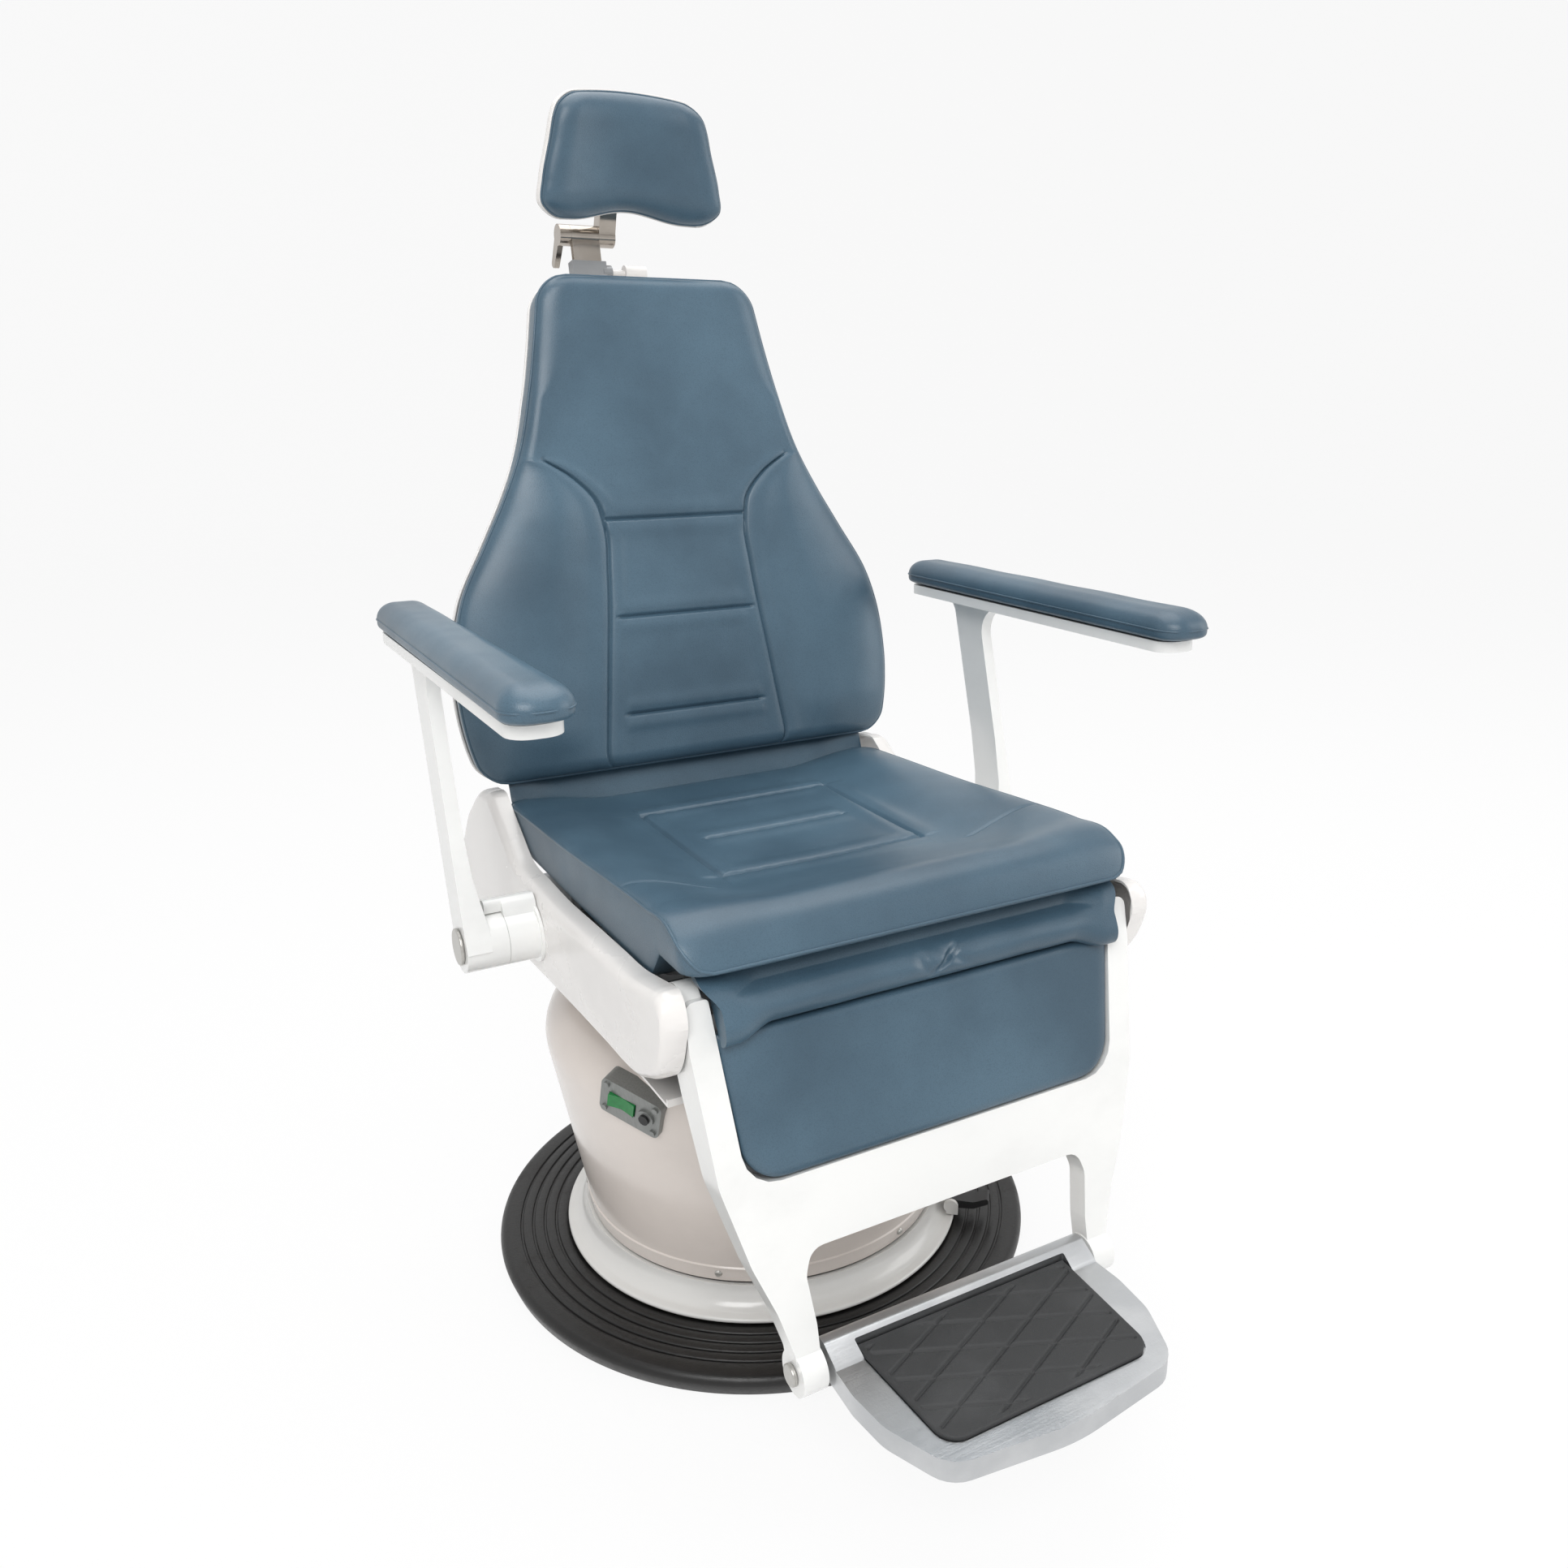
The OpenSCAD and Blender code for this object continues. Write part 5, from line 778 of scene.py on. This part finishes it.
def back_place(u, v, side):
    """Across: seam at |u| .5 and rim at 1; depth t = rim - crown - bolster + grooves."""
    hw = back_half(v) - back_cut(v)
    seam = np.minimum(0.86 * back_half(v), BACK_HW * lookup(v, BACK_SEAM)) * hw / back_half(v)
    x = across(u, hw, seam)
    rise = rise_of(u, v, *BACK_ROUND)
    s = v * BACK_H
    if side < 0:
        return in_back(x, BACK_RIM + (BACK_T - BACK_RIM) * np.minimum(1, 1.4 * rise ** 0.4), s)
    wing = smooth((abs(u) - 0.5) / 0.25) * smooth((0.66 - v) / 0.15) * smooth(v / 0.1)
    d = abs(x) - seam
    lower = smooth((SEAM_END - v) / 0.02)
    lines = [np.where(abs(x) > CHANNEL_HW, OFF_LINE, s - at * BACK_H) for at in BACK_CHANNELS]
    groove, swell = pressed(d, lower, lines, BACK_LINES, BACK_SWELL_OUT)
    ripple = np.sin(x * 0.27 + 1.3) * sum(bell(k, 10) for k in lines)
    lumbar = LUMBAR * bell(x, 130) * bell(s - LUMBAR_S, 110)
    relief = BACK_GROOVE * groove - BACK_SWELL * swell - BACK_RIPPLE * ripple - lumbar
    crown = BACK_RIM + BOLSTER * wing - BACK_CROWN
    return in_back(x, BACK_RIM + (relief - crown) * rise, s)


def around(ends, sides):
    """Path (u, v) once round a pad's rim, with so many points along an end and along a side."""
    u, v = np.linspace(-1, 1, ends), np.linspace(0, 1, sides + 2)[1:-1]
    return (np.concatenate([u, np.ones(sides), -u, -np.ones(sides)]),
            np.concatenate([np.zeros(ends), v, np.ones(ends), 1 - v]))


def shell_depth(x, u, v):
    """How far the shell stands off the cushion: dish + spine, times the round of its rim."""
    flank = 0.5 + 0.5 * np.cos(np.pi * np.clip((abs(x) - SPINE_HW) / SPINE_FLANK, 0, 1))
    spine = SPINE_T * flank * np.clip((v - 0.12) / 0.12, 0, 1) * np.where(v > 0.5, 1, 0.4 + 1.2 * v)
    return (SHELL_T + spine) * rise_of(u, v, *SHELL_ROUND)


def walled(made, thickness):
    """The open shell gets a wall of even thickness behind its outer face, and smooth shading."""
    wall = made.modifiers.new("wall", "SOLIDIFY")
    wall.thickness, wall.offset = thickness * mm, -1
    return smooth_shaded(made)


def back_shell():
    """Rear of the shell over the same outline as the cushion, with slots for the frame's two
    levers and a notch for the head guide, and a wall of even thickness."""
    slot = np.array([LEVER_X - LEVER_HW, LEVER_X + LEVER_HW]) / back_half(np.array(0.04))
    us = np.unique(np.round(np.concatenate([closer(120), slot, -slot, [-0.318, 0.07]]), 5))
    vs = np.unique(np.round(np.concatenate([rows_of(110), [0.08, 0.9]]), 5))
    u, v = np.meshgrid(us, vs)
    t = BACK_T + SHELL_GAP + shell_depth(u * back_half(v), u, v)
    points = np.stack(in_back((back_half(v) - back_cut(v)) * u, t, v * BACK_H), -1)
    quads = grid_faces(np.arange(u.size).reshape(u.shape))[:, ::-1]
    u, v = (u[:-1, :-1] + u[1:, 1:]) / 2, (v[:-1, :-1] + v[1:, 1:]) / 2
    x, s = u * (back_half(v) - back_cut(v)), v * BACK_H
    slots = (abs(abs(x) - LEVER_X) < LEVER_HW) & (s < LEVER_S)
    notch = (abs(x - NOTCH_X) < NOTCH_HW) & (s > NOTCH_S) & (shell_depth(x, u, v) > NOTCH_T)
    made = from_arrays("back_shell_cover", points, quads[~(slots | notch).ravel()])
    return walled(made, SHELL_WALL)


back = pad("back_cushion_vinyl", seam_us, rows_of(190, *BACK_CHANNELS, SEAM_END), back_place)
seat_on(back, "back", "blue_vinyl", VINYL, "back_cushion")
piping("back_piping", back_place, *around(60, 260), "back", *BACK_PIPE, closed=True)
seat_on(back_shell(), "back", "white_cover", COVER, "back_shell")


# Headrest: a winged pad in vinyl on a thin white shell, carried by a flat chromed mast, a
# cranked arm with a lock lever, and a bracket that is screwed to the shell.
HEAD_HW, HEAD_H, HEAD_T, HEAD_CORNER = 111, 138, 44, 20
HEAD_Y, HEAD_Z, HEAD_LEAN = 274.96, 1275.19, -9
HEAD_WIDTHS = [[0, 0.95], [0.12, 1.02], [0.3, 1], [0.6, 0.91], [0.85, 0.83], [1, 0.73]]
HEAD_BOW, HEAD_ARCH, ARCH_HALF, WING_FALL = 24, 11, 0.85, 4
HEAD_GROW, HEAD_SHELL_T, HEAD_WALL, HEAD_PIPE = 3, 4, 2.5, (1.4, 0.3)


def head_place(rim, crown, rear, grow, edge):
    """Place function of a pad bowed in plan and arched along its lower edge: depth t = bow +
    rim - crown x rise on its face, and bow + rim + rear x rise on its rear."""
    def place(u, v, side):
        """Plan x = half width (u), s = up the pad + arch - fall of the wings, then leaned."""
        hw = HEAD_HW * lookup(v, HEAD_WIDTHS) + grow
        x = (hw - end_cut(np.minimum(v, 1 - v) * HEAD_H, HEAD_CORNER)) * u
        rise = rise_of(u, v, edge, edge * 1.6)
        bow = HEAD_BOW * (1 - (abs(x) / HEAD_HW) ** 2)
        bend = np.where(abs(u) < ARCH_HALF, (1 + np.cos(np.pi * u / ARCH_HALF)) / 2, 0)
        s = HEAD_H * (v - 0.5) + HEAD_ARCH * (1 - v) ** 2 * bend - WING_FALL * v * u * u
        face = bow + rim - crown * rise
        t = face if side > 0 else bow * (1 - 0.6 * rise) + rim + rear * rise ** 0.5
        return leaned(HEAD_Y, HEAD_Z, HEAD_LEAN, x, t, s + grow * (2 * v - 1))
    return place


pad_place = head_place(0.45 * HEAD_T, 0.45 * HEAD_T, 0.5 * HEAD_T, 0, 0.3)
head = pad("headrest_vinyl", closer(120), rows_of(90), pad_place)
seat_on(head, "head", "blue_vinyl", VINYL, "headrest_cushion")
piping("headrest_piping", pad_place, *around(90, 88), "head", *HEAD_PIPE, closed=True)

u, v = np.meshgrid(closer(120), rows_of(90))
behind = head_place(0.5 * HEAD_T, 0, 0.5 * HEAD_T + HEAD_SHELL_T, HEAD_GROW, 0.25)(u, v, -1)
head_shell = from_arrays("headrest_shell_cover", np.stack(behind, -1),
                         grid_faces(np.arange(u.size).reshape(u.shape))[:, ::-1])
seat_on(walled(head_shell, HEAD_WALL), "head", "white_cover", COVER, "headrest_shell")
for node, body, edge in (("headrest_mast", "mast", 1.2), ("headrest_arm", "neck", 1.5),
                         ("headrest_lever", "lever", 1.0), ("headrest_bracket", "head", 1.0)):
    dressed(node, body, "chrome", CHROME, edge, 3, degrees=30)


# Armrests: one aluminium casting each, painted white, with hub, leaning post and tray. The
# pad on the tray is moulded foam in the same vinyl, narrower at its rear end.
ARM_X, ARM_Z, ARM_LEN, ARM_HW, ARM_T, ARM_BACK = 345, 765, 518, 32, 32, 184
ARM_TAPER, ARM_RIM, ARM_WAVE, ARM_ROUND, ARM_PIPE = 0.12, 0.4, 0.3, (0.7, 0.14), (1.0, 0.2)


def arm_place(sign):
    """Place function of the arm pad on the side of that sign."""
    def place(u, v, side):
        """Flat-bottomed pad with a full round rim: z = rim + crown, plan rounded at both ends."""
        d = np.minimum(v, 1 - v) * ARM_LEN
        hw = ARM_HW * (1 - ARM_TAPER * v) - end_cut(d, ARM_HW * 0.8)
        rise = rise_of(u, v, *ARM_ROUND)
        wave = ARM_WAVE * np.sin(0.05 * v * ARM_LEN) * rise
        top = ARM_Z + ARM_T * (ARM_RIM + (1 - ARM_RIM) * rise) + wave
        z = top if side > 0 else ARM_Z + ARM_T * ARM_RIM * (1 - rise ** 0.4)
        return sign * (ARM_X + hw * u), ARM_BACK - ARM_LEN + v * ARM_LEN, z
    return place


for side, sign in (("right", -1), ("left", 1)):
    body = "arm_" + side
    dressed("armrest_" + side, body, "white_casting", PAINT, 3.0, 4, degrees=32)
    arm_pad = pad("arm_pad_vinyl_" + side, closer(60), rows_of(150), arm_place(sign))
    seat_on(arm_pad, body, "blue_vinyl", VINYL, "arm_pad_" + side)
    piping("arm_piping_" + side, arm_place(sign), *around(90, 88), body, *ARM_PIPE, closed=True)


# Leg rest: an aluminium casting painted white, two long flanks that run down into feet, with
# a vinyl cushion set in a recess of its face.
LEG_Y, LEG_Z, LEG_LEAN = -398, 333, 12.8
LEG_PAD_LOW, LEG_PAD_TOP, LEG_PAD_H, LEG_PAD_R, LEG_PAD_S, LEG_FIT = 208, 224, 143.5, 36, 5.5, 1.5
LEG_RIM, LEG_ROLL, LEG_CROWN, LEG_DEPTH, LEG_ROUND = 5, 7, 3, 19, (0.08, 0.16)


def leg_place(u, v, side):
    """Trapezium with round lower corners; its face is crowned and its rim rolls in."""
    d = v * LEG_PAD_H
    hw = LEG_PAD_LOW + (LEG_PAD_TOP - LEG_PAD_LOW) * v - end_cut(d, LEG_PAD_R) - LEG_FIT
    rise = rise_of(u, v, *LEG_ROUND)
    face = LEG_RIM - (LEG_ROLL + LEG_CROWN * (1 - u * u)) * rise
    t = face if side > 0 else LEG_RIM + LEG_DEPTH * rise ** 0.3
    return leaned(LEG_Y, LEG_Z, LEG_LEAN, hw * u, t, LEG_PAD_S + d)


dressed("leg_frame", "leg", "white_casting", PAINT, 3.5, 4, degrees=28)
leg_pad = pad("leg_cushion_vinyl", closer(150), rows_of(90), leg_place)
seat_on(leg_pad, "leg", "blue_vinyl", VINYL, "leg_cushion")
dressed("footplate_bolts", "leg", "zinc", ZINC, 1.6, 4)


# Footplate: a sand-cast aluminium tray, fettled bright along its rim, folding on two bolts.
# A ribbed rubber mat with crossing grooves is glued in its recess.
MAT_BACK, MAT_FRONT, MAT_HW_BACK, MAT_HW_FRONT, MAT_R, MAT_MID = -438, -580, 124, 116, 22, -509
MAT_Z, MAT_EDGE, MAT_DEEP, PLAIN_X, PLAIN_Y, PLAIN_FADE = 165, 2, 3.7, 5, 6, 3
RIB_ANGLE, RIB_PITCH, RIB_GROOVE, RIB_HW = math.radians(25), 35, 3, 1.7


def cast_aluminium():
    """Cast aluminium, linished: two greys mixed in slow random clouds, with fine grain and brushed
    marks in its roughness and bump.
    """
    finish = Finish("cast_aluminium")
    grain = finish.noise(500, 4)
    cloud = finish.noise(18, 5).above(0.35, 0.7)
    brushed = finish.noise(420, 2, (0.05, 1, 1))
    tone = finish.mix(cloud * 0.6, linear(190, 192, 194), linear(212, 213, 214))
    return finish.coat(Base_Color=tone, Metallic=1.0, Roughness=0.2 + grain * 0.14 + brushed * 0.12,
                       Normal=finish.bump(grain + brushed, 0.0001))


def mat_rubber():
    """Grey ribbed rubber, matt, with grit worn into it."""
    finish = Finish("mat_rubber")
    grit = finish.noise(700, 3)
    worn = finish.noise(16, 4).above(0.45, 0.75)
    tone = finish.mix(worn * 0.6 + grit * 0.2, linear(44, 45, 46), linear(66, 67, 68))
    return finish.coat(Base_Color=tone, Roughness=0.62 + worn * 0.1,
                       Normal=finish.bump(grit, 0.0003))


def mat_place(u, v, side):
    """Sheet over the recess: plan is a rounded trapezium, z falls in crossing grooves that run
    at the ribs' angle to both sides of x and stop short of the edge."""
    y = MAT_FRONT + v * (MAT_BACK - MAT_FRONT)
    hw = MAT_HW_FRONT + (MAT_HW_BACK - MAT_HW_FRONT) * v - end_cut(y - MAT_FRONT, MAT_R)
    x = hw * u
    inner = smooth((hw - abs(x) - PLAIN_X) / PLAIN_FADE)
    for d in (y - MAT_FRONT, MAT_BACK - y):
        inner = inner * smooth((d - PLAIN_Y) / PLAIN_FADE)
    run, climb = x * math.sin(RIB_ANGLE), (y - MAT_MID) * math.cos(RIB_ANGLE)
    near = [abs((k + RIB_PITCH / 2) % RIB_PITCH - RIB_PITCH / 2)
            for k in (run + climb, run - climb)]
    groove = RIB_GROOVE * np.maximum(bell(near[0], RIB_HW), bell(near[1], RIB_HW)) * inner
    rise = rise_of(u, v, 0.02, 0.03)
    return x, y, MAT_Z - MAT_EDGE + (MAT_EDGE - groove if side > 0 else -MAT_DEEP) * rise


dressed("footplate", "step", "cast_alloy", cast_aluminium(), 2.0, 4, degrees=28)
mat = pad("footplate_mat_rubber", np.linspace(-1, 1, 301), np.linspace(0, 1, 181), mat_place)
seat_on(mat, "step", "grey_mat", mat_rubber(), "footplate_mat")


# Switch plate on the cover's right shoulder: satin grey metal with a lit green rocker and the
# button of the circuit breaker, held by four pan-head screws.
def satin_grey():
    """Anodised grey plate with a fine brushed grain."""
    finish = Finish("satin_grey")
    brushed = finish.noise(500, 3, (1, 1, 0.05))
    tone = finish.mix(brushed, linear(122, 124, 122), linear(150, 152, 150))
    return finish.coat(Base_Color=tone, Metallic=0.6, Roughness=0.36 + brushed * 0.12,
                       Normal=finish.bump(brushed, 0.00005))


def green_lens():
    """Clear green plastic over a lamp, streaked inside."""
    finish = Finish("green_lens")
    streak = finish.noise(200, 2)
    tone = finish.mix(streak, linear(12, 96, 44), linear(30, 140, 70))
    return finish.coat(Base_Color=tone, Roughness=0.16 + streak * 0.1,
                       Normal=finish.bump(streak, 0.00003))


dressed("switch_plate", "turntable", "steel", satin_grey(), 0.6, 2)
dressed("power_rocker", "rocker", "green_plastic", green_lens(), 0.6, 2)
